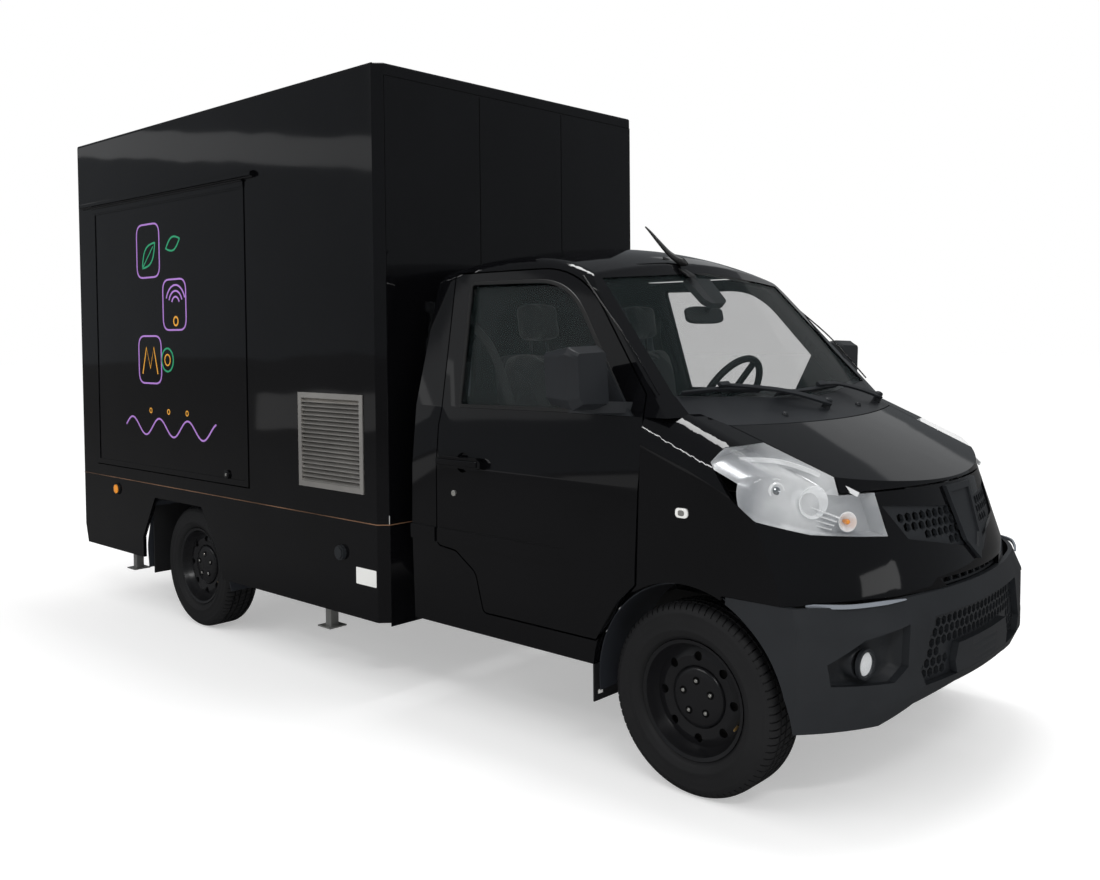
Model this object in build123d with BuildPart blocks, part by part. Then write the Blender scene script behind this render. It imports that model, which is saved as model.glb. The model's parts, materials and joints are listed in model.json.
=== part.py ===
from build123d import *
import os
from math import sqrt

os.makedirs("parts", exist_ok=True)

# Food truck: a compact light truck with a box body that sells from a side hatch.
# Millimetres. X points forward, Y to the vehicle's left, Z up. The origin is on the ground,
# under the middle of the overall length. Distances written for the chassis and the cab are
# measured from the front axle, forward positive, and fx() turns them into X.

# Reach of the whole vehicle from the front axle
FRONT_REACH = 650          # to the bumper's foremost point
REAR_REACH = 4275          # to the rear door's handle
WHEELBASE = 3070
FRONT_AXLE_X = (REAR_REACH - FRONT_REACH) / 2
REAR_AXLE = -WHEELBASE

# Wheels and tyres
TYRE_R = 312
TYRE_W = 185
TRACK = 1395               # between the middles of the two tyres of an axle
BEAD_R = 190
RIM_LIP_R = 194
RIM_W = 150
RIM_WALL = 8
RIM_FIT = 0.3              # tyre bore over rim
VENT_COUNT = 8
VENT_R = 15
VENT_PCD_R = 134
HUB_R = 66
HUB_FACE = 34              # outward from the tyre's middle to the hub cover's face
BEARING_GAP = 0.3          # between a hub's inner face and its spindle or axle end

# Steering
BALL_Y = 630               # lower ball joint
BALL_Z = 190
STRUT_TOP_Y = 535          # upper strut mount
STRUT_TOP_Z = 790
STRUT_R = 24
TOWER_GAP = 4.3            # strut's top to the tower, which covers the strut's lean

# Ladder frame
RAIL_OUT = 400             # outer face of each rail from the centre line
RAIL_W = 60
RAIL_Z = 440
RAIL_H = 120
RAIL_FRONT = 470
RAIL_REAR = -4150
RAIL_WALL = 5
CROSS_X = (380, -790, -1350, -2100, -2700, -3450, -4080)
CROSS_W = 70

# Box body
BOX_FRONT = -1475
BOX_REAR = -4240
BOX_HALF = 840
BOX_TOP = 2600
BOX_TRIM = 712             # where walls meet skirts
WALL = 35
ROOF_BAND = 50
FLOOR_T = 38
SKIRT_BOTTOM = 305
SKIRT_T = 18
FRONT_SHEET = 3            # outer sheet of the front wall, carried down between the skirts
FRONT_NOTCH = 620          # half width of the notch in that sheet round the frame
CORNER_CUT = 37
SEAM = 6                   # gap round every door, lid and hatch

# Service hatch in the right wall
HATCH_REAR = -4055
HATCH_FRONT = -2475
HATCH_BOTTOM = 780
HATCH_TOP = BOX_TOP - 385
HATCH_FRAME = 28
HATCH_PROUD = 4
RAIL_LEFT = -4186
RAIL_RIGHT = -2384
HINGE_BARREL_R = 5

# Rear entrance door
ENTRY_W = 760
ENTRY_Y = 90               # middle of the door, to the left of the centre line
ENTRY_BOTTOM = 770
ENTRY_TOP = BOX_TOP - 270
ENTRY_FRAME = 30

# Vent in the right wall
VENT_X0 = -2057
VENT_X1 = -1594
VENT_Z0 = 830
VENT_Z1 = 1245
VENT_FRAME = 24
SLAT_COUNT = 19
SLAT_T = 2.5

# Cab
CAB_REAR = -1330
CAB_SILL = 355
FLOOR_Z = 566
CAB_HALF = 805             # widest, at hip height
BELT_Z = 1213
BELT_HALF = 775
ROOF_RAIL_Z = 1700
ROOF_RAIL_HALF = 645
ROOF_TOP = 1845
ROOF_APEX = -890
ROOF_R_REAR = 1900         # fore and aft crown behind the apex
ROOF_R_FRONT = 1000        # and ahead of it
ROOF_CROWN_R = 3200        # crown across
ROOF_EDGE_R = 55
CAB_WALL = 40              # doors, pillars and roof with their inner panels
COWL_X = 33
GLASS_TOP_X = -464
GLASS_TOP_Z = 1733
GLASS_BOW_R = 3400         # windscreen's curvature across
GLASS_T = 6

# Nose
HOOD_FRONT_X = 525
HOOD_FRONT_Z = 1005
SHOULDER_Y = 669           # where the hood's crown turns into the wing
SHOULDER_Z = 1180
NOSE_AXIS = -630           # centre of the nose's curvature in plan
SKIN = 18
DOOR_FRONT = -185
PANEL_BOTTOM = 676

# Bumper
BUMPER_BOTTOM = 300
BUMPER_SKIN = 22
BUMPER_GAP = 0.8


def fx(distance):
    """X of a point that lies this far ahead of the front axle."""
    return FRONT_AXLE_X + distance


def save(piece, name):
    """Label a finished piece and write its STEP file."""
    piece.part.label = name
    export_step(piece.part, f"parts/{name}.step")


def block(x0, x1, y0, y1, z0, z1, mode=Mode.ADD):
    """A box between two corners, its x taken from the front axle."""
    with Locations((fx((x0 + x1) / 2), (y0 + y1) / 2, (z0 + z1) / 2)):
        Box(x1 - x0, y1 - y0, z1 - z0, mode=mode)


def side_outline(points, y):
    """A closed side-view outline of (x, z) points, on the plane at this y."""
    with BuildSketch(Plane((0, y, 0), x_dir=(1, 0, 0), z_dir=(0, -1, 0))) as outline:
        with BuildLine():
            Polyline(*[(fx(x), z) for x, z in points], close=True)
        make_face()
    return outline.sketch


def side_prism(points, y0, y1, mode=Mode.ADD):
    """A side-view outline carried across from y0 to y1."""
    extrude(side_outline(points, max(y0, y1)), amount=abs(y1 - y0), mode=mode)


def plan_prism(points, z0, z1, mode=Mode.ADD):
    """A plan outline of (x, y) points raised from z0 to z1."""
    with BuildSketch(Plane.XY.offset(z0)) as outline:
        with BuildLine():
            Polyline(*[(fx(x), y) for x, y in points], close=True)
        make_face()
    extrude(outline.sketch, amount=z1 - z0, mode=mode)


def front_prism(points, x0, x1, mode=Mode.ADD):
    """A front-view outline of (y, z) points carried from x0 to x1."""
    with BuildSketch(Plane((fx(x0), 0, 0), x_dir=(0, 1, 0), z_dir=(1, 0, 0))) as outline:
        with BuildLine():
            Polyline(*points, close=True)
        make_face()
    extrude(outline.sketch, amount=x1 - x0, mode=mode)


def rod(start, end, radius, mode=Mode.ADD):
    """A round bar between two points whose x is taken from the front axle."""
    foot = Vector(fx(start[0]), start[1], start[2])
    tip = Vector(fx(end[0]), end[1], end[2])
    with BuildSketch(Plane(foot, z_dir=tip - foot)) as outline:
        Circle(radius)
    extrude(outline.sketch, amount=(tip - foot).length, mode=mode)


def turned(outline, x, y, z, outward, mode=Mode.ADD):
    """Turn an outline of (radius, outward distance) about a wheel's axis."""
    centre = (fx(x), y, z)
    with BuildSketch(Plane(centre, x_dir=(1, 0, 0), z_dir=(0, 0, 1))) as profile:
        with BuildLine():
            Polyline(*[(r, outward * a) for r, a in outline], close=True)
        make_face()
    revolve(profile.sketch, axis=Axis(centre, (0, 1, 0)), revolution_arc=360, mode=mode)


SIDES = (("left", 1), ("right", -1))
AXLES = (("front", 0), ("rear", REAR_AXLE))

# Tyres and rims: one of each for every corner
TYRE_OUTLINE = (
    (BEAD_R + RIM_FIT, -RIM_W / 2 + 9),
    (RIM_LIP_R + 1, -RIM_W / 2 + 7),
    (BEAD_R + 14, -TYRE_W / 2 + 10),
    (BEAD_R + 45, -TYRE_W / 2),
    (TYRE_R - 52, -TYRE_W / 2 + 1),
    (TYRE_R - 20, -TYRE_W / 2 + 9),
    (TYRE_R - 5, -TYRE_W / 2 + 22),
    (TYRE_R, -TYRE_W / 2 + 40),
    (TYRE_R, TYRE_W / 2 - 40),
    (TYRE_R - 5, TYRE_W / 2 - 22),
    (TYRE_R - 20, TYRE_W / 2 - 9),
    (TYRE_R - 52, TYRE_W / 2 - 1),
    (BEAD_R + 45, TYRE_W / 2),
    (BEAD_R + 14, TYRE_W / 2 - 10),
    (RIM_LIP_R + 1, RIM_W / 2 - 7),
    (BEAD_R + RIM_FIT, RIM_W / 2 - 9),
)
RIM_OUTLINE = (
    (RIM_LIP_R, -RIM_W / 2),
    (RIM_LIP_R, -RIM_W / 2 + 6),
    (BEAD_R, -RIM_W / 2 + 8),
    (BEAD_R, RIM_W / 2 - 8),
    (RIM_LIP_R, RIM_W / 2 - 6),
    (RIM_LIP_R, RIM_W / 2),
    (BEAD_R - RIM_WALL, RIM_W / 2 - 4),
    (BEAD_R - 18, RIM_W / 2 - 30),
    (VENT_PCD_R + 28, 26),
    (VENT_PCD_R, 36),
    (HUB_R + 36, 30),
    (HUB_R + 14, 8),
    (HUB_R, 8),
    (HUB_R - 6, HUB_FACE),
    (0, HUB_FACE + 3),
    (0, 0),
    (HUB_R + 20, 0),
    (HUB_R + 40, 22),
    (VENT_PCD_R, 28),
    (VENT_PCD_R + 26, 17),
    (BEAD_R - 22, RIM_W / 2 - 42),
    (BEAD_R - RIM_WALL, 10),
    (BEAD_R - RIM_WALL, -RIM_W / 2),
)
for axle, axle_x in AXLES:
    for side, out in SIDES:
        hub_y = out * TRACK / 2
        with BuildPart() as tyre:
            turned(TYRE_OUTLINE, axle_x, hub_y, TYRE_R, out)
        save(tyre, f"tyre_{axle}_{side}")

        with BuildPart() as rim:
            turned(RIM_OUTLINE, axle_x, hub_y, TYRE_R, out)
            vent_plane = Plane((fx(axle_x), hub_y, TYRE_R), x_dir=(1, 0, 0), z_dir=(0, out, 0))
            with BuildSketch(vent_plane) as vents:
                with PolarLocations(VENT_PCD_R, VENT_COUNT):
                    Circle(VENT_R)
            extrude(vents.sketch, amount=60, mode=Mode.SUBTRACT)
        save(rim, f"rim_{axle}_{side}")

# Steering knuckles with their struts
KINGPIN_Y_PER_Z = (STRUT_TOP_Y - BALL_Y) / (STRUT_TOP_Z - BALL_Z)
SPINDLE_Y = BALL_Y + (TYRE_R - BALL_Z) * KINGPIN_Y_PER_Z
for side, out in SIDES:
    with BuildPart() as knuckle:
        rod((0, out * BALL_Y, BALL_Z + 20), (0, out * STRUT_TOP_Y, STRUT_TOP_Z), STRUT_R)
        rod((0, out * (SPINDLE_Y - 10), TYRE_R), (0, out * (TRACK / 2 - BEARING_GAP), TYRE_R), 32)
        rod((0, out * (SPINDLE_Y + 8), TYRE_R), (0, out * (SPINDLE_Y + 36), TYRE_R), 62)
        y0, y1 = sorted((out * (BALL_Y - 40), out * BALL_Y))
        block(-95, -10, y0, y1, 230, 262)
    save(knuckle, f"knuckle_{side}")

# Front crossmember and lower arms
ARM_Z0 = BALL_Z - 16
ARM_Z1 = BALL_Z + 14
with BuildPart() as front_suspension:
    block(-110, 110, -RAIL_OUT + 10, RAIL_OUT - 10, RAIL_Z - 70, RAIL_Z)
    for side, out in SIDES:
        block(-90, 90, min(out * 300, out * 380), max(out * 300, out * 380), ARM_Z0, RAIL_Z - 70)
        plan_prism(
            [(-95, out * 330), (95, out * 330), (30, out * (BALL_Y - 25)), (24, out * (BALL_Y + 8)),
             (-24, out * (BALL_Y + 8)), (-30, out * (BALL_Y - 25))],
            ARM_Z0, ARM_Z1,
        )
save(front_suspension, "front_suspension")

# Rear axle with its differential housing, and the leaf springs under the rails
SPRING_Y = 460
SPRING_W = 60
SPRING_HALF = 520
with BuildPart() as rear_axle:
    AXLE_END = TRACK / 2 - BEARING_GAP
    rod((REAR_AXLE, -AXLE_END, TYRE_R), (REAR_AXLE, AXLE_END, TYRE_R), 36)
    for side, out in SIDES:
        rod((REAR_AXLE, out * 600, TYRE_R), (REAR_AXLE, out * 645, TYRE_R), 115)
    with Locations((fx(REAR_AXLE), 0, TYRE_R)):
        Sphere(125)
    rod((REAR_AXLE, 0, TYRE_R), (REAR_AXLE + 230, 0, TYRE_R + 20), 55)
save(rear_axle, "rear_axle")

with BuildPart() as leaf_springs:
    for side, out in SIDES:
        inner, outer = sorted((out * (SPRING_Y - SPRING_W / 2), out * (SPRING_Y + SPRING_W / 2)))
        eye_z = TYRE_R + 110
        seat_z = TYRE_R + 36
        for leaf, reach in enumerate((1.0, 0.72, 0.46)):
            low = seat_z + 10 * (2 - leaf)
            half = SPRING_HALF * reach
            rise = (eye_z - seat_z - 20) * reach * reach
            side_prism(
                [(REAR_AXLE - half, low + rise), (REAR_AXLE, low), (REAR_AXLE + half, low + rise),
                 (REAR_AXLE + half, low + rise + 10), (REAR_AXLE, low + 10),
                 (REAR_AXLE - half, low + rise + 10)],
                inner, outer,
            )
        block(REAR_AXLE - 55, REAR_AXLE + 55, inner, outer, seat_z + 0.3, seat_z + 62)
        for end in (-1, 1):
            eye_x = REAR_AXLE + end * SPRING_HALF
            rod((eye_x, inner, eye_z + 2), (eye_x, outer, eye_z + 2), 22)
            block(eye_x - 25, eye_x + 25, inner, outer, eye_z + 2, RAIL_Z + 60)
            reach_in = sorted((out * RAIL_OUT, out * (SPRING_Y - SPRING_W / 2 + 5)))
            block(eye_x - 25, eye_x + 25, reach_in[0], reach_in[1], RAIL_Z + 10, RAIL_Z + 60)
save(leaf_springs, "leaf_springs")

# Ladder frame: two channel rails, crossmembers and the bearers that carry the box
with BuildPart() as chassis:
    for side, out in SIDES:
        outer = out * RAIL_OUT
        inner = out * (RAIL_OUT - RAIL_W)
        block(RAIL_REAR, RAIL_FRONT, min(outer, inner), max(outer, inner), RAIL_Z, RAIL_Z + RAIL_H)
        pocket = sorted((inner, out * (RAIL_OUT - RAIL_WALL)))
        block(RAIL_REAR, RAIL_FRONT, pocket[0], pocket[1], RAIL_Z + RAIL_WALL, RAIL_Z + RAIL_H - RAIL_WALL,
              mode=Mode.SUBTRACT)
    for x in CROSS_X:
        block(x - CROSS_W / 2, x + CROSS_W / 2, -RAIL_OUT + RAIL_WALL, RAIL_OUT - RAIL_WALL,
              RAIL_Z + 30, RAIL_Z + RAIL_H - RAIL_WALL)
save(chassis, "chassis_frame")

# Drop legs that steady the truck while it sells: tubes that slide in guides under the bearers
LEG_X = (-1930, -3740)
LEG_Y = BOX_HALF - 70
LEG_TUBE = 40
LEG_GUIDE = 52
LEG_GUIDE_Z = 330
LEG_CLEAR = 0.4
BEARER_Z = RAIL_Z + RAIL_H + 60
FOOT_Z = 205
FOOT_T = 6
FOOT_HALF = 45

# Subframe of the box: bearers across the rails, and the guides of the drop legs
BEARER_X = (-1560, -1930, -2640, -3440, -3740, -4120)
BOX_FLOOR_Z = BOX_TRIM
with BuildPart() as bearers:
    for x in BEARER_X:
        block(x - 30, x + 30, -BOX_HALF + SKIRT_T + 12, BOX_HALF - SKIRT_T - 12, BEARER_Z, BOX_FLOOR_Z)
    for side, out in SIDES:
        y0, y1 = sorted((out * RAIL_OUT, out * (RAIL_OUT - RAIL_W)))
        block(BOX_REAR + 60, BOX_FRONT - 20, y0, y1, RAIL_Z + RAIL_H, BOX_FLOOR_Z)
    for x in LEG_X:
        for side, out in SIDES:
            with Locations((fx(x), out * LEG_Y, (LEG_GUIDE_Z + BEARER_Z) / 2)):
                Box(LEG_GUIDE, LEG_GUIDE, BEARER_Z - LEG_GUIDE_Z)
            with Locations((fx(x), out * LEG_Y, (LEG_GUIDE_Z - 1 + BEARER_Z - 5) / 2)):
                Box(LEG_TUBE + 2 * LEG_CLEAR, LEG_TUBE + 2 * LEG_CLEAR, BEARER_Z - 5 - LEG_GUIDE_Z + 1,
                    mode=Mode.SUBTRACT)
save(bearers, "box_subframe")

# Engine, gearbox and shaft
BULKHEAD_GAP = -135
with BuildPart() as engine:
    block(BULKHEAD_GAP, 345, -215, 215, RAIL_Z + 5, 900)
save(engine, "engine_block")

with BuildPart() as drive_line:
    block(-690, BULKHEAD_GAP - 0.5, -120, 120, RAIL_Z - 50, RAIL_Z + 105)
    rod((-690, 0, RAIL_Z - 10), (REAR_AXLE + 232, 0, TYRE_R + 20), 32)
save(drive_line, "drive_line")

# Fuel tank on the right and exhaust on the left, hung from the rails
with BuildPart() as fuel_tank:
    block(-2080, -1480, -BOX_HALF + 105, -430, 300, 515)
    fillet(fuel_tank.edges().filter_by(Axis.X), 45)
    for x in (-1950, -1620):
        block(x - 20, x + 20, -450, -RAIL_OUT, 470, 505)
save(fuel_tank, "fuel_tank")

with BuildPart() as exhaust:
    rod((-2500, 560, 410), (-1900, 560, 410), 85)
    rod((-1900, 560, 410), (-760, 470, 400), 24)
    rod((-2900, 560, 400), (-2500, 560, 410), 22)
    for x in (-2350, -2050):
        block(x - 15, x + 15, RAIL_OUT, 500, 460, 500)
save(exhaust, "exhaust")

# Box body walls
with BuildPart() as box_floor:
    block(BOX_REAR, BOX_FRONT, -BOX_HALF + WALL, BOX_HALF - WALL, BOX_FLOOR_Z, BOX_FLOOR_Z + FLOOR_T)
save(box_floor, "box_floor")

WALL_TOP = BOX_TOP - ROOF_BAND
with BuildPart() as box_roof:
    block(BOX_REAR, BOX_FRONT, -BOX_HALF, BOX_HALF, WALL_TOP, BOX_TOP)
    for y in (-BOX_HALF, BOX_HALF):
        plan_prism(
            [(BOX_FRONT + 1, y), (BOX_FRONT - CORNER_CUT, y), (BOX_FRONT, y * (1 - CORNER_CUT / BOX_HALF)),
             (BOX_FRONT + 1, y * (1 - CORNER_CUT / BOX_HALF))],
            WALL_TOP, BOX_TOP, mode=Mode.SUBTRACT,
        )
    fillet(box_roof.edges().group_by(Axis.Z)[-1], 12)
save(box_roof, "box_roof")

for side, out in SIDES:
    outer = out * BOX_HALF
    inner = out * (BOX_HALF - WALL)
    y0, y1 = sorted((outer, inner))
    with BuildPart() as wall:
        block(BOX_REAR, BOX_FRONT, y0, y1, BOX_TRIM, WALL_TOP)
        cut = out * (BOX_HALF - CORNER_CUT)
        plan_prism(
            [(BOX_FRONT + 1, outer), (BOX_FRONT - CORNER_CUT, outer), (BOX_FRONT, cut), (BOX_FRONT + 1, cut)],
            BOX_TRIM, WALL_TOP, mode=Mode.SUBTRACT,
        )
        if side == "right":
            block(HATCH_REAR - SEAM, HATCH_FRONT + SEAM, y0 - 1, y1 + 1,
                  HATCH_BOTTOM - SEAM, HATCH_TOP + SEAM, mode=Mode.SUBTRACT)
            block(VENT_X0, VENT_X1, y0 - 1, y1 + 1, VENT_Z0, VENT_Z1, mode=Mode.SUBTRACT)
    save(wall, f"box_wall_{side}")

with BuildPart() as box_front:
    block(BOX_FRONT - WALL, BOX_FRONT, -BOX_HALF + WALL, BOX_HALF - WALL, BOX_FLOOR_Z + FLOOR_T, WALL_TOP)
    block(BOX_FRONT, BOX_FRONT + FRONT_SHEET, -BOX_HALF + CORNER_CUT, BOX_HALF - CORNER_CUT,
          SKIRT_BOTTOM - 15, WALL_TOP)
    block(BOX_FRONT - 1, BOX_FRONT + FRONT_SHEET + 1, -FRONT_NOTCH, FRONT_NOTCH, SKIRT_BOTTOM - 16, BOX_TRIM,
          mode=Mode.SUBTRACT)
save(box_front, "box_wall_front")

ENTRY_Y0 = ENTRY_Y - ENTRY_W / 2
ENTRY_Y1 = ENTRY_Y + ENTRY_W / 2
# Entrance door's hinges: knuckles of the door between knuckles of the frame, on one pin each
ENTRY_HINGE_Z = (ENTRY_BOTTOM + 180, (ENTRY_BOTTOM + ENTRY_TOP) / 2, ENTRY_TOP - 180)
KNUCKLE_R = 6.5
KNUCKLE_HALF = 20
KNUCKLE_GAP = 0.4
PIN_R = 3
PIN_FIT = 0.3
ENTRY_AXIS = (BOX_REAR - 7, ENTRY_Y1 + 3.5)
with BuildPart() as box_rear:
    block(BOX_REAR, BOX_REAR + WALL, -BOX_HALF + WALL, BOX_HALF - WALL, BOX_FLOOR_Z + FLOOR_T, WALL_TOP)
    block(BOX_REAR - 1, BOX_REAR + WALL + 1, ENTRY_Y0 - SEAM, ENTRY_Y1 + SEAM,
          ENTRY_BOTTOM - SEAM, ENTRY_TOP + SEAM, mode=Mode.SUBTRACT)
    for z in ENTRY_HINGE_Z:
        block(BOX_REAR - 4, BOX_REAR, ENTRY_Y1 + SEAM, ENTRY_Y1 + 42, z - 34, z + 34)
        reach = KNUCKLE_HALF + KNUCKLE_GAP
        rod((ENTRY_AXIS[0], ENTRY_AXIS[1], z - reach), (ENTRY_AXIS[0], ENTRY_AXIS[1], z + reach),
            KNUCKLE_R + KNUCKLE_GAP, mode=Mode.SUBTRACT)
        for end in (-1, 1):
            low, high = sorted((z + end * reach, z + end * (KNUCKLE_HALF + 14)))
            block(BOX_REAR - 9, BOX_REAR - 4, ENTRY_AXIS[1], ENTRY_Y1 + 24, low, high)
            rod((ENTRY_AXIS[0], ENTRY_AXIS[1], low), (ENTRY_AXIS[0], ENTRY_AXIS[1], high), KNUCKLE_R)
        rod((ENTRY_AXIS[0], ENTRY_AXIS[1], z - 34), (ENTRY_AXIS[0], ENTRY_AXIS[1], z + 34), PIN_R)
save(box_rear, "box_wall_rear")

# Skirts with the rear wheel arches
ARCH = ((-3538, 250), (-3538, 417), (-3400, 641), (-2920, 641), (-2870, 577), (-2790, 456), (-2700, 250))
with BuildPart() as skirts:
    for side, out in SIDES:
        outer = out * BOX_HALF
        y0, y1 = sorted((outer, out * (BOX_HALF - SKIRT_T)))
        side_prism(
            [(BOX_REAR, BOX_TRIM), (BOX_REAR, 410), (BOX_REAR + 30, SKIRT_BOTTOM),
             (BOX_FRONT - CORNER_CUT, SKIRT_BOTTOM), (BOX_FRONT - CORNER_CUT, BOX_TRIM)],
            y0, y1,
        )
        side_prism(ARCH, y0 - 1, y1 + 1, mode=Mode.SUBTRACT)
        cut = out * (BOX_HALF - CORNER_CUT)
        back = out * (BOX_HALF - SKIRT_T)
        plan_prism(
            [(BOX_FRONT - CORNER_CUT, outer), (BOX_FRONT, cut), (BOX_FRONT - SKIRT_T, cut),
             (BOX_FRONT - CORNER_CUT, back)],
            SKIRT_BOTTOM, BOX_TRIM,
        )
save(skirts, "skirts")

# Service hatch: framed panel, hung from a piano hinge under the drip rail
HINGE_Y = -(BOX_HALF + HATCH_PROUD + HINGE_BARREL_R)
HINGE_Z = HATCH_TOP + 9
with BuildPart() as hatch:
    block(HATCH_REAR, HATCH_FRONT, -BOX_HALF, -BOX_HALF + WALL, HATCH_BOTTOM, HATCH_TOP)
    block(HATCH_REAR, HATCH_FRONT, -BOX_HALF - HATCH_PROUD, -BOX_HALF, HATCH_BOTTOM, HATCH_TOP)
    block(HATCH_REAR + HATCH_FRAME, HATCH_FRONT - HATCH_FRAME, -BOX_HALF - HATCH_PROUD - 1, -BOX_HALF,
          HATCH_BOTTOM + HATCH_FRAME, HATCH_TOP - HATCH_FRAME, mode=Mode.SUBTRACT)
    rod((HATCH_REAR, HINGE_Y, HINGE_Z), (HATCH_FRONT, HINGE_Y, HINGE_Z), HINGE_BARREL_R)
    block(HATCH_REAR, HATCH_FRONT, HINGE_Y + HINGE_BARREL_R - 3, HINGE_Y + HINGE_BARREL_R,
          HATCH_TOP - 20, HINGE_Z)
save(hatch, "hatch")

with BuildPart() as drip_rail:
    side_top = HINGE_Z + HINGE_BARREL_R
    front_prism(
        [(-BOX_HALF, side_top + 0.6), (-BOX_HALF - 10, side_top + 0.6), (-BOX_HALF - 14, side_top + 6),
         (-BOX_HALF - 24, side_top + 8), (-BOX_HALF - 24, side_top + 24), (-BOX_HALF, side_top + 34)],
        RAIL_LEFT, RAIL_RIGHT,
    )
save(drip_rail, "drip_rail")

# Entrance door in the rear wall
with BuildPart() as entry:
    block(BOX_REAR, BOX_REAR + WALL, ENTRY_Y0, ENTRY_Y1, ENTRY_BOTTOM, ENTRY_TOP)
    block(BOX_REAR - 4, BOX_REAR, ENTRY_Y0, ENTRY_Y1, ENTRY_BOTTOM, ENTRY_TOP)
    block(BOX_REAR - 5, BOX_REAR, ENTRY_Y0 + ENTRY_FRAME, ENTRY_Y1 - ENTRY_FRAME,
          ENTRY_BOTTOM + ENTRY_FRAME, ENTRY_TOP - ENTRY_FRAME, mode=Mode.SUBTRACT)
    block(-REAR_REACH, BOX_REAR, ENTRY_Y0 + 50, ENTRY_Y0 + 72, 1380, 1560)
    block(-REAR_REACH + 12, BOX_REAR - 4, ENTRY_Y0 + 46, ENTRY_Y0 + 80, 1398, 1542, mode=Mode.SUBTRACT)
    for z in ENTRY_HINGE_Z:
        rod((ENTRY_AXIS[0], ENTRY_AXIS[1], z - 36), (ENTRY_AXIS[0], ENTRY_AXIS[1], z + 36), KNUCKLE_R + 1,
            mode=Mode.SUBTRACT)
        low = (ENTRY_AXIS[0], ENTRY_AXIS[1], z - KNUCKLE_HALF)
        high = (ENTRY_AXIS[0], ENTRY_AXIS[1], z + KNUCKLE_HALF)
        block(BOX_REAR - 9, BOX_REAR - 4, ENTRY_Y1 - 30, ENTRY_AXIS[1], z - KNUCKLE_HALF, z + KNUCKLE_HALF)
        rod(low, high, KNUCKLE_R)
        rod(low, high, PIN_R + PIN_FIT, mode=Mode.SUBTRACT)
save(entry, "entry_door")

# Vent: frame with sloping slats
with BuildPart() as vent:
    y_out = -BOX_HALF - 5
    block(VENT_X0, VENT_X1, y_out, -BOX_HALF + WALL, VENT_Z0, VENT_Z1)
    block(VENT_X0 + VENT_FRAME, VENT_X1 - VENT_FRAME, y_out - 1, -BOX_HALF + WALL + 1,
          VENT_Z0 + VENT_FRAME, VENT_Z1 - VENT_FRAME, mode=Mode.SUBTRACT)
    pitch = (VENT_Z1 - VENT_Z0 - 2 * VENT_FRAME) / SLAT_COUNT
    for slat in range(SLAT_COUNT):
        z = VENT_Z0 + VENT_FRAME + slat * pitch
        front_prism(
            [(y_out + 2, z + 1), (y_out + 2, z + 1 + SLAT_T), (y_out + 20, z + pitch - 1),
             (y_out + 20, z + pitch - 1 - SLAT_T)],
            VENT_X0 + VENT_FRAME, VENT_X1 - VENT_FRAME,
        )
save(vent, "vent_grille")

# Small fittings of the skirts: inlet cap and side marker
with BuildPart() as inlet:
    rod((-1755, -BOX_HALF, 568), (-1755, -BOX_HALF - 16, 568), 32)
    rod((-1755, -BOX_HALF - 16, 568), (-1755, -BOX_HALF - 22, 568), 24)
save(inlet, "inlet_cap")

# Drop legs
for end, x in zip(("front", "rear"), LEG_X):
    for side, out in SIDES:
        with BuildPart() as foot:
            with Locations((fx(x), out * LEG_Y, FOOT_Z + FOOT_T / 2)):
                Box(2 * FOOT_HALF, 2 * FOOT_HALF, FOOT_T)
            with Locations((fx(x), out * LEG_Y, (FOOT_Z + FOOT_T + 600) / 2)):
                Box(LEG_TUBE, LEG_TUBE, 600 - FOOT_Z - FOOT_T)
        save(foot, f"drop_leg_{end}_{side}")

FLAP_X = -386
FLAP_Z = 225

# Rear guard with its lamps
with BuildPart() as rear_guard:
    block(-4225, -4185, -BOX_HALF + 40, BOX_HALF - 40, 430, 530)
    for side, out in SIDES:
        y0, y1 = sorted((out * RAIL_OUT, out * (RAIL_OUT - RAIL_W)))
        block(-4185, RAIL_REAR, y0, y1, 445, 520)
save(rear_guard, "rear_guard")

with BuildPart() as rear_lamps:
    for side, out in SIDES:
        y0, y1 = sorted((out * (BOX_HALF - 280), out * (BOX_HALF - 60)))
        block(-4243, -4225, y0, y1, 440, 520)
        rod((-3826, out * BOX_HALF, 650), (-3826, out * (BOX_HALF + 8), 650), 25)
save(rear_lamps, "rear_lamps")

# Mud flaps behind the wheels
with BuildPart() as mud_flaps:
    for side, out in SIDES:
        y0, y1 = sorted((out * 610, out * 795))
        block(FLAP_X - 6, FLAP_X, y0, y1, FLAP_Z, CAB_SILL)
        y0, y1 = sorted((out * 600, out * (BOX_HALF - SKIRT_T - 7)))
        block(REAR_AXLE - 400, REAR_AXLE - 394, y0, y1, FLAP_Z, BEARER_Z)
save(mud_flaps, "mud_flaps")

# The cab's outer form, or the hollow inside its walls when it is drawn inset
GLASS_SLOPE = Vector(GLASS_TOP_X - COWL_X, 0, GLASS_TOP_Z - BELT_Z).normalized()
CAB_OUT = CAB_HALF + 100           # clear of the widest point
DOOR_INNER = CAB_HALF - 245        # inboard of every door's inner face
DOME_REACH = 900


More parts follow.
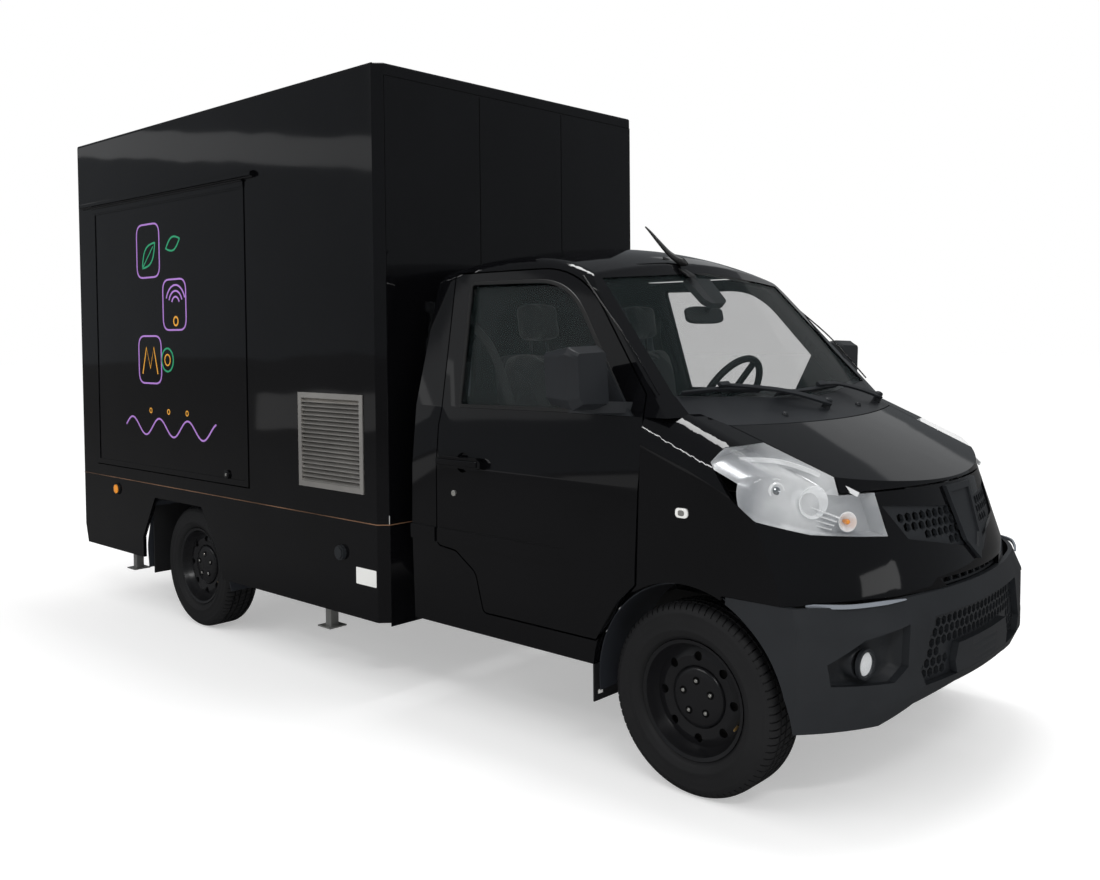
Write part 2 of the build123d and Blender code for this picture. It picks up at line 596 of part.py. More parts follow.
def roof_dome(inset):
    """Body under a roof that is crowned across and has two fore and aft radii."""
    with BuildPart() as dome:
        apex = Plane((fx(ROOF_APEX), 0, ROOF_TOP - inset), x_dir=(0, 1, 0), z_dir=(1, 0, 0))
        with BuildSketch(apex) as crown:
            with BuildLine():
                drop = ROOF_CROWN_R - sqrt(ROOF_CROWN_R ** 2 - DOME_REACH ** 2)
                ThreePointArc((-DOME_REACH, -drop), (0, 0), (DOME_REACH, -drop))
                Polyline((DOME_REACH, -drop), (DOME_REACH, -DOME_REACH), (-DOME_REACH, -DOME_REACH),
                         (-DOME_REACH, -drop))
            make_face()
        for radius, turn in ((ROOF_R_REAR, -30), (ROOF_R_FRONT, 80)):
            spin = Axis((fx(ROOF_APEX), 0, ROOF_TOP - radius), (0, 1, 0))
            start = crown.sketch.rotate(spin, min(turn, 0))
            revolve(start, axis=spin, revolution_arc=abs(turn))
    return dome.part


def greenhouse(inset, corner_r):
    """Upper cab: leaning sides, a crowned roof and a bowed windscreen plane."""
    with BuildPart() as form:
        front_prism(
            [(-CAB_HALF + inset + 25, BELT_Z - 70), (CAB_HALF - inset - 25, BELT_Z - 70),
             (BELT_HALF - inset, BELT_Z), (ROOF_RAIL_HALF - inset - 70, ROOF_RAIL_Z + 262),
             (-ROOF_RAIL_HALF + inset + 70, ROOF_RAIL_Z + 262), (-BELT_HALF + inset, BELT_Z)],
            CAB_REAR + inset, 400,
        )
        add(roof_dome(inset), mode=Mode.INTERSECT)
        screen = Plane((fx(COWL_X), 0, BELT_Z), x_dir=(0, 1, 0), z_dir=GLASS_SLOPE)
        with BuildSketch(screen) as bow:
            with Locations((0, GLASS_BOW_R)):
                Circle(GLASS_BOW_R - inset)
        extrude(bow.sketch, amount=2400, both=True, mode=Mode.INTERSECT)
        roof_faces = form.faces().sort_by(Axis.Z)[-2:]
        rim_edges = [
            e for e in roof_faces.edges()
            if e.bounding_box().size.X > 1 or abs(e.center().X - fx(ROOF_APEX)) > 1
        ]
        fillet(rim_edges, corner_r)
    return form.part


def lower_body(inset):
    """Lower cab from the rear wall to the door's front edge."""
    with BuildPart() as form:
        front_prism(
            [(-CAB_HALF + inset + 12, CAB_SILL - 60), (CAB_HALF - inset - 12, CAB_SILL - 60),
             (CAB_HALF - inset, 720), (CAB_HALF - inset - 5, 980), (BELT_HALF - inset, BELT_Z),
             (-BELT_HALF + inset, BELT_Z), (-CAB_HALF + inset + 5, 980), (-CAB_HALF + inset, 720)],
            CAB_REAR + inset, DOOR_FRONT,
        )
    return form.part


NOSE_REAR = DOOR_FRONT - 30
SHOULDER_R = CAB_HALF - 5 - SHOULDER_Y + 14


def nose_form(inset):
    """Bonnet and wings: a crowned section that falls forward, turned round in plan at the front."""
    fall = Vector(HOOD_FRONT_X - COWL_X, 0, HOOD_FRONT_Z - BELT_Z).normalized()
    with BuildPart() as form:
        start = Plane((fx(NOSE_REAR), 0, 0), x_dir=(0, 1, 0), z_dir=(1, 0, 0))
        lift = (NOSE_REAR - COWL_X) * fall.Z / fall.X
        side_y = CAB_HALF - 5 - inset
        turn_z = SHOULDER_Z + lift - SHOULDER_R
        mid = (SHOULDER_R - inset) * 0.7071
        mid_y = side_y - (SHOULDER_R - inset) + mid
        shoulder_z = SHOULDER_Z + lift - inset
        with BuildSketch(start) as section:
            with BuildLine():
                ThreePointArc((SHOULDER_Y, shoulder_z), (0, BELT_Z + lift - inset), (-SHOULDER_Y, shoulder_z))
                ThreePointArc((-SHOULDER_Y, shoulder_z), (-mid_y, turn_z + mid), (-side_y, turn_z))
                Polyline((-side_y, turn_z), (-side_y, 200), (side_y, 200), (side_y, turn_z))
                ThreePointArc((side_y, turn_z), (mid_y, turn_z + mid), (SHOULDER_Y, shoulder_z))
            make_face()
        extrude(section.sketch, amount=1000, dir=fall)
        with BuildSketch(Plane((0, 0, 0), x_dir=(1, 0, 0), z_dir=(0, -1, 0))) as nose_side:
            with BuildLine():
                Polyline(
                    (fx(NOSE_AXIS), 100), (fx(620 - inset), 100), (fx(640 - inset), 600),
                    (fx(619 - inset), 733), (fx(542 - inset), 976),
                    (fx(HOOD_FRONT_X - inset - 3), HOOD_FRONT_Z + 60),
                    (fx(HOOD_FRONT_X - inset - 3), 1500), (fx(NOSE_AXIS), 1500), close=True,
                )
            make_face()
        spin = Axis((fx(NOSE_AXIS), 0, 0), (0, 0, 1))
        revolve(nose_side.sketch.rotate(spin, -89), axis=spin, revolution_arc=178, mode=Mode.INTERSECT)
    return form.part


GREEN_OUT = greenhouse(0, ROOF_EDGE_R)
GREEN_IN = greenhouse(CAB_WALL, ROOF_EDGE_R - 30)
LOWER_OUT = lower_body(0)
LOWER_IN = lower_body(CAB_WALL)
NOSE_OUT = nose_form(0)
NOSE_IN = nose_form(SKIN)


def rounded_side(corners, grow=0):
    """A side-view outline on y = 0 from corners of (x, z, radius), made larger by grow."""
    with BuildSketch(Plane((0, 0, 0), x_dir=(1, 0, 0), z_dir=(0, -1, 0))) as outline:
        with BuildLine():
            Polyline(*[(fx(x), z) for x, z, _ in corners], close=True)
        make_face()
        for x, z, radius in corners:
            if radius:
                fillet(outline.vertices().sort_by_distance((fx(x), z, 0))[0], radius)
        if grow:
            offset(amount=grow, kind=Kind.INTERSECTION)
    return outline.sketch


def across(outline, y0, y1, mode=Mode.ADD):
    """A side-view outline that lies on y = 0, carried from y0 to y1."""
    extrude(outline.moved(Location((0, max(y0, y1), 0))), amount=abs(y1 - y0), mode=mode)


# Door, window and windscreen outlines; the side ones are (x, z, corner radius)
DOOR_OUTLINE = (
    (-188, 1288, 8), (DOOR_FRONT, 1120, 0), (-203, 659, 15), (-279, 590, 0), (-377, 444, 10), (-928, 444, 20),
    (-965, 590, 60), (-1075, 662, 40), (-1178, 672, 20), (-1186, 1137, 0), (-1172, 1209, 0),
    (-1232, 1733, 12), (-566, 1733, 420),
)
WINDOW_OUTLINE = ((-1076, 1215, 15), (-240, 1222, 12), (-612, 1690, 330), (-1134, 1697, 25))
GLASS_FOOT = ((680, 1280), (0, 1248), (-680, 1280))
SCREEN_OUTLINE = ((-600, 1692), (0, 1728), (600, 1692)) + GLASS_FOOT
SCUTTLE_Z = 1100
SCUTTLE_HALF = 676
PANE_GAP = 0.5
BULKHEAD_X = -149          # front face of the bulkhead behind the engine
FLOOR_SHEET = 20
SILL_Y = CAB_HALF - 55     # outer face of the inner sill, inside the doors
SILL_T = 14
HINGE_FRAME_Y = CAB_HALF - 83
HINGE_FRAME_T = 28
HOUSE_Y = 440              # inner end of the wheelhouse
ARCH_R = 378
ARCH_X = -14               # the front arch's middle

# Cab door hinges: an arm of the body reaches into a notch behind the door's outer sheet
HINGE_X = -209
HINGE_Y_CAB = CAB_HALF - 9.5
HINGE_Z_CAB = (692, 880)
HINGE_PIN_R = 4
HINGE_PIN_HALF = 24
ARM_HALF = 12
ARM_BACK = 12              # rear face of the arm behind the pin
NOTCH_BACK = 18
NOTCH_HALF = 15
NOTCH_OUT = 4.5            # outer sheet's inner face, outboard of the pin's middle

DOOR_SHAPE = rounded_side(DOOR_OUTLINE)
DOOR_SPACE = rounded_side(DOOR_OUTLINE, SEAM)
WINDOW_SHAPE = rounded_side(WINDOW_OUTLINE)
PANE_SHAPE = rounded_side(WINDOW_OUTLINE, -PANE_GAP)

with BuildPart() as cab_room:
    add(GREEN_IN)
    add(LOWER_IN)

with BuildPart() as cab_form:
    add(GREEN_OUT)
    add(LOWER_OUT)

with BuildPart() as door_walls:
    add(cab_form.part)
    add(cab_room.part, mode=Mode.SUBTRACT)

# Wheelhouse behind each front tyre
with BuildPart() as wheelhouse:
    for side, out in SIDES:
        rod((ARCH_X, out * HOUSE_Y, TYRE_R), (ARCH_X, out * SILL_Y, TYRE_R), ARCH_R + 8)
    block(-500, BULKHEAD_X, -CAB_OUT, CAB_OUT, FLOOR_Z, 800, mode=Mode.INTERSECT)

# What the doors take out of the cab above its floor
with BuildPart() as doorways:
    for side, out in SIDES:
        across(DOOR_SPACE, out * CAB_OUT, out * DOOR_INNER)
    block(-1500, 200, -CAB_OUT, CAB_OUT, FLOOR_Z + FLOOR_SHEET, 2000, mode=Mode.INTERSECT)

# Cab shell: floor, rear wall, pillars, sills and roof, with the door and glass openings cut
with BuildPart() as cab_shell:
    add(door_walls.part)
    block(CAB_REAR + CAB_WALL, BULKHEAD_X, -SILL_Y, SILL_Y, FLOOR_Z, FLOOR_Z + FLOOR_SHEET)
    block(CAB_REAR, BULKHEAD_X, -HINGE_FRAME_Y, HINGE_FRAME_Y, FLOOR_Z, 1180)
    block(CAB_REAR + CAB_WALL, BULKHEAD_X - 14, -SILL_Y + SILL_T, SILL_Y - SILL_T,
          FLOOR_Z + FLOOR_SHEET, 1214, mode=Mode.SUBTRACT)
    for side, out in SIDES:
        y0, y1 = sorted((out * (SILL_Y - SILL_T), out * SILL_Y))
        block(CAB_REAR + CAB_WALL, -380, y0, y1, CAB_SILL, FLOOR_Z + FLOOR_SHEET)
        across(DOOR_SPACE, out * CAB_OUT, out * SILL_Y, mode=Mode.SUBTRACT)
        y0, y1 = sorted((out * (SILL_Y + 1), out * CAB_OUT))
        block(-345, -200, y0, y1, 470, 668, mode=Mode.SUBTRACT)
        y0, y1 = sorted((out * (HINGE_FRAME_Y + 7), out * CAB_OUT))
        block(NOSE_REAR, 200, y0, y1, 200, BELT_Z + 1, mode=Mode.SUBTRACT)
    add(doorways.part, mode=Mode.SUBTRACT)
    block(CAB_REAR - 1, 200, -CAB_OUT, CAB_OUT, 200, CAB_SILL, mode=Mode.SUBTRACT)
    block(CAB_REAR - 1, 200, -SILL_Y + SILL_T, SILL_Y - SILL_T, 200, FLOOR_Z, mode=Mode.SUBTRACT)
    for side, out in SIDES:
        y0, y1 = sorted((out * (HINGE_FRAME_Y - HINGE_FRAME_T), out * HINGE_FRAME_Y))
        block(-230, BULKHEAD_X, y0, y1, FLOOR_Z, 1180)
        y0, y1 = sorted((out * (HINGE_FRAME_Y - HINGE_FRAME_T), out * (HINGE_FRAME_Y + 6)))
        block(-170, BULKHEAD_X, y0, y1, 1150, BELT_Z + 3)
        y0, y1 = sorted((out * (CAB_HALF - 19), out * (CAB_HALF + 9)))
        block(CAB_REAR, -1186, y0, y1, 682, 738)
        for z in HINGE_Z_CAB:
            y0, y1 = sorted((out * (HINGE_FRAME_Y - 4), out * (HINGE_Y_CAB + 1)))
            block(HINGE_X - ARM_BACK, HINGE_X - 1, y0, y1, z - ARM_HALF, z + ARM_HALF)
            rod((HINGE_X, out * HINGE_Y_CAB, z - HINGE_PIN_HALF),
                (HINGE_X, out * HINGE_Y_CAB, z + HINGE_PIN_HALF), HINGE_PIN_R)
    block(CAB_REAR - 5, CAB_REAR + 60, -480, 480, 1260, 1640, mode=Mode.SUBTRACT)
    front_prism(SCREEN_OUTLINE, -760, 400, mode=Mode.SUBTRACT)
    block(BULKHEAD_X, 500, -CAB_OUT, CAB_OUT, 200, BELT_Z + 1, mode=Mode.SUBTRACT)
    block(-300, 500, -SCUTTLE_HALF, SCUTTLE_HALF, 1181, 1290, mode=Mode.SUBTRACT)
    add(wheelhouse.part)
    for side, out in SIDES:
        rod((ARCH_X, out * HOUSE_Y, TYRE_R), (ARCH_X, out * CAB_OUT, TYRE_R), ARCH_R, mode=Mode.SUBTRACT)
save(cab_shell, "cab_shell")

# Doors with their window openings, and the panes
HANDLE_X = -1036
HANDLE_Z = 1002
with BuildPart() as door_right:
    add(door_walls.part)
    across(DOOR_SHAPE, -CAB_OUT, -DOOR_INNER, mode=Mode.INTERSECT)
    across(WINDOW_SHAPE, -CAB_OUT, -DOOR_INNER, mode=Mode.SUBTRACT)
    with Locations((fx(HANDLE_X), -CAB_HALF + 4, HANDLE_Z)):
        Cylinder(38, 30, rotation=(90, 0, 0), mode=Mode.SUBTRACT)
    for z in HINGE_Z_CAB:
        block(HINGE_X - NOTCH_BACK, HINGE_X + 80, -HINGE_Y_CAB - NOTCH_OUT, -HINGE_Y_CAB + 60,
              z - NOTCH_HALF, z + NOTCH_HALF, mode=Mode.SUBTRACT)
        rod((HINGE_X, -HINGE_Y_CAB, z - HINGE_PIN_HALF - 1), (HINGE_X, -HINGE_Y_CAB, z + HINGE_PIN_HALF + 1),
            HINGE_PIN_R + PIN_FIT, mode=Mode.SUBTRACT)
    side_prism([(-1160, 985), (-1160, 1015), (-1130, 1024), (-935, 1026), (-912, 1012), (-912, 992),
                (-935, 982)], -CAB_HALF - 22, -CAB_HALF - 8)
    for x in (-1150, -935):
        block(x, x + 18, -CAB_HALF - 10, -CAB_HALF + 25, 990, 1012)
    plan_prism([(-1172, -CAB_HALF + 20), (-1172, -CAB_HALF - 9), (-620, -CAB_HALF - 7), (-484, -CAB_HALF + 1),
                (-484, -CAB_HALF + 20)], 682, 738)
save(door_right, "door_right")
with BuildPart() as door_left:
    mirror(door_right.part, about=Plane.XZ)
save(door_left, "door_left")

LEAN = (BELT_HALF - ROOF_RAIL_HALF) / (ROOF_RAIL_Z - BELT_Z)
GLASS_INSET = 16
PANE_FOOT = (-BELT_HALF + (1190 - BELT_Z) * LEAN + GLASS_INSET, 1190)
PANE_HEAD = (-BELT_HALF + (1720 - BELT_Z) * LEAN + GLASS_INSET, 1720)
with BuildPart() as glass_right:
    front_prism([PANE_FOOT, PANE_HEAD, (PANE_HEAD[0] + 5, PANE_HEAD[1]), (PANE_FOOT[0] + 5, PANE_FOOT[1])],
                -1200, -200)
    across(PANE_SHAPE, -CAB_OUT, -DOOR_INNER, mode=Mode.INTERSECT)
save(glass_right, "door_glass_right")
with BuildPart() as glass_left:
    mirror(glass_right.part, about=Plane.XZ)
save(glass_left, "door_glass_left")

with BuildPart() as windscreen:
    screen = Plane((fx(COWL_X), 0, BELT_Z), x_dir=(0, 1, 0), z_dir=GLASS_SLOPE)
    with BuildSketch(screen) as bow:
        with Locations((0, GLASS_BOW_R)):
            Circle(GLASS_BOW_R - 4)
            Circle(GLASS_BOW_R - 4 - GLASS_T, mode=Mode.SUBTRACT)
        with Locations((0, 200)):
            Rectangle(1500, 400, mode=Mode.INTERSECT)
    extrude(bow.sketch, amount=900, both=True)
    with BuildSketch(Plane((fx(-800), 0, 0), x_dir=(0, 1, 0), z_dir=(1, 0, 0))) as outline:
        with BuildLine():
            Polyline(*SCREEN_OUTLINE, close=True)
        make_face()
        offset(amount=-PANE_GAP, kind=Kind.INTERSECTION)
    extrude(outline.sketch, amount=1300, mode=Mode.INTERSECT)
    block(CAB_REAR + 15, CAB_REAR + 20, -480 + PANE_GAP, 480 - PANE_GAP, 1260 + PANE_GAP, 1640 - PANE_GAP)
save(windscreen, "cab_glass")

# Bonnet, cowl, wings and front panel share the nose's skin
HOOD_REAR_MID = 125
HOOD_REAR_X = 38
HOOD_REAR_HALF = 592
HOOD_NOSE_X = 452
HOOD_NOSE_HALF = 541
HOOD_LIP_Z = 992
LAMP_OUTLINE = (
    (82, 1086), (104, 1130), (206, 1145), (430, 1062), (520, 1000), (511, 850), (370, 874), (256, 917), (168, 980),
)
WING_FRONT = ((-400, 1500), (-400, 300), (20, 300), (137, 689), (258, 905), (258, 1500))

with BuildPart() as nose_skin:
    add(NOSE_OUT)
    add(NOSE_IN, mode=Mode.SUBTRACT)
    block(NOSE_REAR, 800, -CAB_OUT, CAB_OUT, 340, 1500, mode=Mode.INTERSECT)
    rod((ARCH_X, -CAB_OUT, TYRE_R), (ARCH_X, CAB_OUT, TYRE_R), ARCH_R, mode=Mode.SUBTRACT)


def hood_plan(grow, reach=700):
    """The bonnet seen from above, its rear edge an arc, made larger by grow."""
    side_run = (HOOD_NOSE_HALF - HOOD_REAR_HALF) / (HOOD_NOSE_X - HOOD_REAR_X)
    front_half = HOOD_REAR_HALF + side_run * (reach - HOOD_REAR_X) + grow
    corner = (fx(HOOD_REAR_X - grow), HOOD_REAR_HALF + grow)
    with BuildSketch() as outline:
        with BuildLine():
            ThreePointArc((corner[0], -corner[1]), (fx(HOOD_REAR_MID - grow), 0), corner)
            Polyline(corner, (fx(reach), front_half), (fx(reach), -front_half), (corner[0], -corner[1]))
        make_face()
    return outline.sketch


with BuildPart() as hood:
    add(nose_skin.part)
    extrude(hood_plan(0), amount=1600, mode=Mode.INTERSECT)
    block(-200, 700, -CAB_OUT, CAB_OUT, HOOD_LIP_Z, 1500, mode=Mode.INTERSECT)
save(hood, "hood")

with BuildPart() as hood_space:
    extrude(hood_plan(SEAM), amount=1600)
    block(-200, 800, -CAB_OUT, CAB_OUT, HOOD_LIP_Z - SEAM, 1700, mode=Mode.INTERSECT)

with BuildPart() as below_hood:
    add(nose_skin.part)
    add(hood_space.part, mode=Mode.SUBTRACT)
    for side, out in SIDES:
        y0, y1 = sorted((out * CAB_OUT, out * 425))
        side_prism(LAMP_OUTLINE, y0, y1, mode=Mode.SUBTRACT)
        across(DOOR_SPACE, out * CAB_OUT, out * DOOR_INNER, mode=Mode.SUBTRACT)

# Cowl: the plate between bonnet and windscreen, with the scuttle that rises to the glass
COWL_EDGE = ((-160, -668), (30, -598), (140, -400), (140, 400), (30, 598), (-160, 668))
GLASS_LINE = tuple((y, z - PANE_GAP) for y, z in GLASS_FOOT)
with BuildPart() as scuttle:
    add(door_walls.part)
    front_prism(((-SCUTTLE_HALF + PANE_GAP, 1181.5), (SCUTTLE_HALF - PANE_GAP, 1181.5)) +
                ((SCUTTLE_HALF - PANE_GAP, 1279),) + (GLASS_LINE[1],) + ((-SCUTTLE_HALF + PANE_GAP, 1279),),
                -300, 200, mode=Mode.INTERSECT)
with BuildPart() as cowl:
    add(below_hood.part)
    plan_prism(COWL_EDGE, SCUTTLE_Z, 1500, mode=Mode.INTERSECT)
    add(cab_form.part, mode=Mode.SUBTRACT)
    add(scuttle.part)
save(cowl, "cowl")

with BuildPart() as pillar_base:
    add(GREEN_OUT)
    block(-600, 400, -CAB_OUT, CAB_OUT, BELT_Z + 1, 1900, mode=Mode.INTERSECT)
with BuildPart() as wings:
    add(below_hood.part)
    side_prism(WING_FRONT, -CAB_OUT, CAB_OUT, mode=Mode.INTERSECT)
    plan_prism(COWL_EDGE, SCUTTLE_Z, 1500, mode=Mode.SUBTRACT)
    add(pillar_base.part, mode=Mode.SUBTRACT)
    add(scuttle.part, mode=Mode.SUBTRACT)
    block(NOSE_REAR - 1, BULKHEAD_X + 1, -HINGE_FRAME_Y - 7, HINGE_FRAME_Y + 7, 300, BELT_Z + 4,
          mode=Mode.SUBTRACT)
save(wings, "wings")

# Headlamps fill the cut between bonnet, wing and front panel: a hollow lens over its bowl
LAMP_DEPTH = 60
LAMP_FIT = 0.6
with BuildPart() as headlamps:
    add(NOSE_OUT)
    for side, out in SIDES:
        add(NOSE_OUT.moved(Location((-LAMP_DEPTH, -out * LAMP_DEPTH * 0.6, -25))), mode=Mode.SUBTRACT)
    lamp_face = offset(side_outline(LAMP_OUTLINE, CAB_OUT), amount=-LAMP_FIT, kind=Kind.INTERSECTION)
    extrude(lamp_face, amount=2 * CAB_OUT, mode=Mode.INTERSECT)
    block(-100, 800, -428, 428, 600, 1200, mode=Mode.SUBTRACT)
    add(hood_space.part, mode=Mode.SUBTRACT)

# Front panel with its grille opening, the mesh behind it and the shield in the middle
GRILLE_OUTLINE = (
    (-418, 945), (-130, 918), (130, 918), (418, 945), (350, 836), (75, 783), (-75, 783), (-350, 836),
)
GRILLE_INSET = 9
SLOT_OUTLINE = ((-255, 704), (255, 704), (215, 670), (-215, 670))
with BuildPart() as front_panel:
    add(below_hood.part)
    side_prism(WING_FRONT, -CAB_OUT, CAB_OUT, mode=Mode.SUBTRACT)
    block(100, 800, -CAB_OUT, CAB_OUT, PANEL_BOTTOM, 1100, mode=Mode.INTERSECT)
    front_prism(GRILLE_OUTLINE, 300, 800, mode=Mode.SUBTRACT)
    front_prism(SLOT_OUTLINE, 300, 800, mode=Mode.SUBTRACT)
save(front_panel, "front_panel")

HEX_R = 16                 # across the corners of a mesh opening, halved
HEX_BAR = 7                # bar between two openings
HEX_PITCH = HEX_R * sqrt(3) + HEX_BAR
MESH_T = 12


def hex_field(x, rows, y=0):
    """Hexagonal openings in staggered rows of (height, half width), seen from the front."""
    with BuildSketch(Plane((fx(x), 0, 0), x_dir=(0, 1, 0), z_dir=(1, 0, 0))) as field:
        for row, (z, half) in enumerate(rows):
            count = int(2 * half / HEX_PITCH) // 2 * 2 + row % 2
            with Locations((y, z)):
                with GridLocations(HEX_PITCH, 1, count, 1):
                    RegularPolygon(HEX_R, 6, rotation=30)
    return field.sketch


with BuildPart() as grille:
    add(NOSE_OUT.moved(Location((-GRILLE_INSET, 0, 0))))
    front_prism(GRILLE_OUTLINE, 300, 800, mode=Mode.INTERSECT)
    add(NOSE_OUT.moved(Location((-GRILLE_INSET - MESH_T, 0, 0))), mode=Mode.SUBTRACT)
    extrude(hex_field(300, ((808, 150), (838, 265), (868, 350), (898, 365))), amount=500, mode=Mode.SUBTRACT)
SHIELD_OUT = ((-97, 978), (97, 978), (66, 800), (0, 733), (-66, 800))
SHIELD_IN = ((-74, 958), (74, 958), (48, 812), (0, 766), (-48, 812))
with BuildPart() as shield:
    front_prism(SHIELD_OUT, 300, 800)
    add(NOSE_OUT.moved(Location((14, 0, 0))), mode=Mode.INTERSECT)
    add(NOSE_OUT.moved(Location((0.2, 0, 0))), mode=Mode.SUBTRACT)
    front_prism(SHIELD_IN, 300, 800, mode=Mode.SUBTRACT)
with BuildPart() as shield_face:
    front_prism(SHIELD_IN, 300, 800)
    add(NOSE_OUT.moved(Location((6, 0, 0))), mode=Mode.INTERSECT)
    add(NOSE_OUT.moved(Location((0.2, 0, 0))), mode=Mode.SUBTRACT)

# Bumper: one moulded shell, lofted through plan sections of (z, x on the centre line, x at
# the flat's end, corner x, corner y, wing end x, wing end y)
BUMPER_FLAT = 400
BUMPER_SECTIONS = (
    (BUMPER_BOTTOM - 12, 588, 560, 482, 606, 360, 770),
    (400, FRONT_REACH - 2, 611, 528, 640, 392, 800),
    (600, FRONT_REACH, 613, 532, 642, 396, 803),
    (PANEL_BOTTOM - BUMPER_GAP, 631, 584, 492, 652, 378, 797),
)
BUMPER_BACK = 150


def bumper_form(inset):
    """The bumper's outer form, or the space inside its wall when it is drawn inset."""
    with BuildPart() as form:
        for z, x_mid, x_flat, x_corner, y_corner, x_end, y_end in BUMPER_SECTIONS:
            level = z + (-inset if z < BUMPER_BOTTOM else inset if z > PANEL_BOTTOM - 5 else 0)
            flat = (fx(x_flat - inset), BUMPER_FLAT)
            corner = (fx(x_corner - 0.8 * inset), y_corner - 0.6 * inset)
            end = (fx(x_end), y_end - inset)
            back = (fx(BUMPER_BACK - 60), y_end + 6 - inset)
            with BuildSketch(Plane.XY.offset(level)):
                with BuildLine():
                    ThreePointArc((flat[0], -flat[1]), (fx(x_mid - inset), 0), flat)
                    ThreePointArc(flat, corner, end)
                    Polyline(end, back, (back[0], -back[1]), (end[0], -end[1]))
                    ThreePointArc((end[0], -end[1]), (corner[0], -corner[1]), (flat[0], -flat[1]))
                make_face()
        loft(ruled=True)
    return form.part


FIT_GAP = 0.3              # between the bumper's wall and what is fitted behind it
FOG_DEPTH = 58
FOG_CUP_T = 6
BUMPER_OUT = bumper_form(0)
BUMPER_IN = bumper_form(BUMPER_SKIN)
BUMPER_LINER = bumper_form(BUMPER_SKIN + FIT_GAP)
BUMPER_MESH = ((-345, 606), (345, 606), (425, 452), (395, 400), (-395, 400), (-425, 452))
FOG_POCKET = ((478, 604), (640, 578), (738, 512), (728, 446), (540, 436), (484, 476))
FOG_Y = 618
FOG_Z = 500
CHIN = ((-545, 280), (-420, 343), (-200, 368), (200, 368), (420, 343), (545, 280))
SKID_HALF = 205
with BuildPart() as bumper:
    add(BUMPER_OUT)
    add(BUMPER_IN, mode=Mode.SUBTRACT)
    front_prism(CHIN, 300, 800, mode=Mode.SUBTRACT)
    block(0, BUMPER_BACK, -CAB_OUT, CAB_OUT, 200, 800, mode=Mode.SUBTRACT)
    rod((ARCH_X, -CAB_OUT, TYRE_R), (ARCH_X, CAB_OUT, TYRE_R), ARCH_R, mode=Mode.SUBTRACT)
    front_prism(BUMPER_MESH, 450, 800, mode=Mode.SUBTRACT)
    for side, out in SIDES:
        front_prism([(out * y, z) for y, z in FOG_POCKET], 380, 800, mode=Mode.SUBTRACT)
save(bumper, "bumper")

# Skid plate with its grooves in front of the lower mesh
with BuildPart() as skid_plate:
    add(BUMPER_OUT)
    front_prism([(-SKID_HALF, 496), (SKID_HALF, 496), (SKID_HALF + 22, 440), (SKID_HALF, 369),
                 (-SKID_HALF, 369), (-SKID_HALF - 22, 440)], 450, 800, mode=Mode.INTERSECT)
    add(BUMPER_OUT.moved(Location((-BUMPER_SKIN + 0.5, 0, 0))), mode=Mode.SUBTRACT)
    block(450, 800, -395, 395, 368, 400.5, mode=Mode.SUBTRACT)
    for z in (420, 444, 468):
        with BuildSketch(Plane((fx(FRONT_REACH + 8), 0, z), x_dir=(1, 0, 0), z_dir=(0, 1, 0))) as groove:
            Circle(12)
        extrude(groove.sketch, amount=SKID_HALF - 30, both=True, mode=Mode.SUBTRACT)

with BuildPart() as bumper_mesh:
    add(BUMPER_LINER)
    front_prism([(-372, 628), (372, 628), (455, 452), (412, 380), (-412, 380), (-455, 452)], 450, 800,
                mode=Mode.INTERSECT)
    add(bumper_form(BUMPER_SKIN + FIT_GAP + MESH_T), mode=Mode.SUBTRACT)
    extrude(hex_field(450, ((515, 365), (545, 352), (575, 340))), amount=350, mode=Mode.SUBTRACT)
    for side, out in SIDES:
        extrude(hex_field(450, ((425, 75), (455, 75), (485, 60)), out * 322), amount=350, mode=Mode.SUBTRACT)

# Ribs in the slot between panel and bumper
with BuildPart() as slot_ribs:
    add(NOSE_IN.moved(Location((-FIT_GAP, 0, 0))))
    front_prism([(-262, 709), (262, 709), (226, PANEL_BOTTOM), (-226, PANEL_BOTTOM)], 300, 800,
                mode=Mode.INTERSECT)
    add(NOSE_IN.moved(Location((-10, 0, 0))), mode=Mode.SUBTRACT)
    with BuildSketch(Plane((fx(300), 0, 693), x_dir=(0, 1, 0), z_dir=(1, 0, 0))) as gaps:
        with GridLocations(54, 1, 8, 1):
            Rectangle(44, 20)
    extrude(gaps.sketch, amount=500, mode=Mode.SUBTRACT)
with BuildPart() as grilles:
    add(grille.part)
    add(shield.part)
    add(shield_face.part)
    add(skid_plate.part)
    add(bumper_mesh.part)
    add(slot_ribs.part)
save(grilles, "front_grilles")

# Fog lamps: a cup behind each pocket, with the round lamp standing in it
with BuildPart() as fog_hollow:
    for side, out in SIDES:
        front_prism([(out * y, z) for y, z in FOG_POCKET], 300, 800)
    add(bumper_form(FOG_DEPTH), mode=Mode.SUBTRACT)
with BuildPart() as fog_lamps:
    for side, out in SIDES:
        grown = [(y + (12 if y > FOG_Y else -12), z + (12 if z > FOG_Z else -12)) for y, z in FOG_POCKET]
        front_prism([(out * y, z) for y, z in grown], 300, 800)
    add(BUMPER_LINER, mode=Mode.INTERSECT)
    add(bumper_form(FOG_DEPTH + FOG_CUP_T), mode=Mode.SUBTRACT)
    add(fog_hollow.part, mode=Mode.SUBTRACT)
    for side, out in SIDES:
        rod((440, out * (FOG_Y - 20), FOG_Z), (508, out * FOG_Y, FOG_Z), 46)
        rod((497, out * (FOG_Y - 4), FOG_Z), (530, out * (FOG_Y + 8), FOG_Z), 38, mode=Mode.SUBTRACT)

with BuildPart() as front_lamps:
    add(headlamps.part)
    add(fog_lamps.part)
save(front_lamps, "front_lamps")

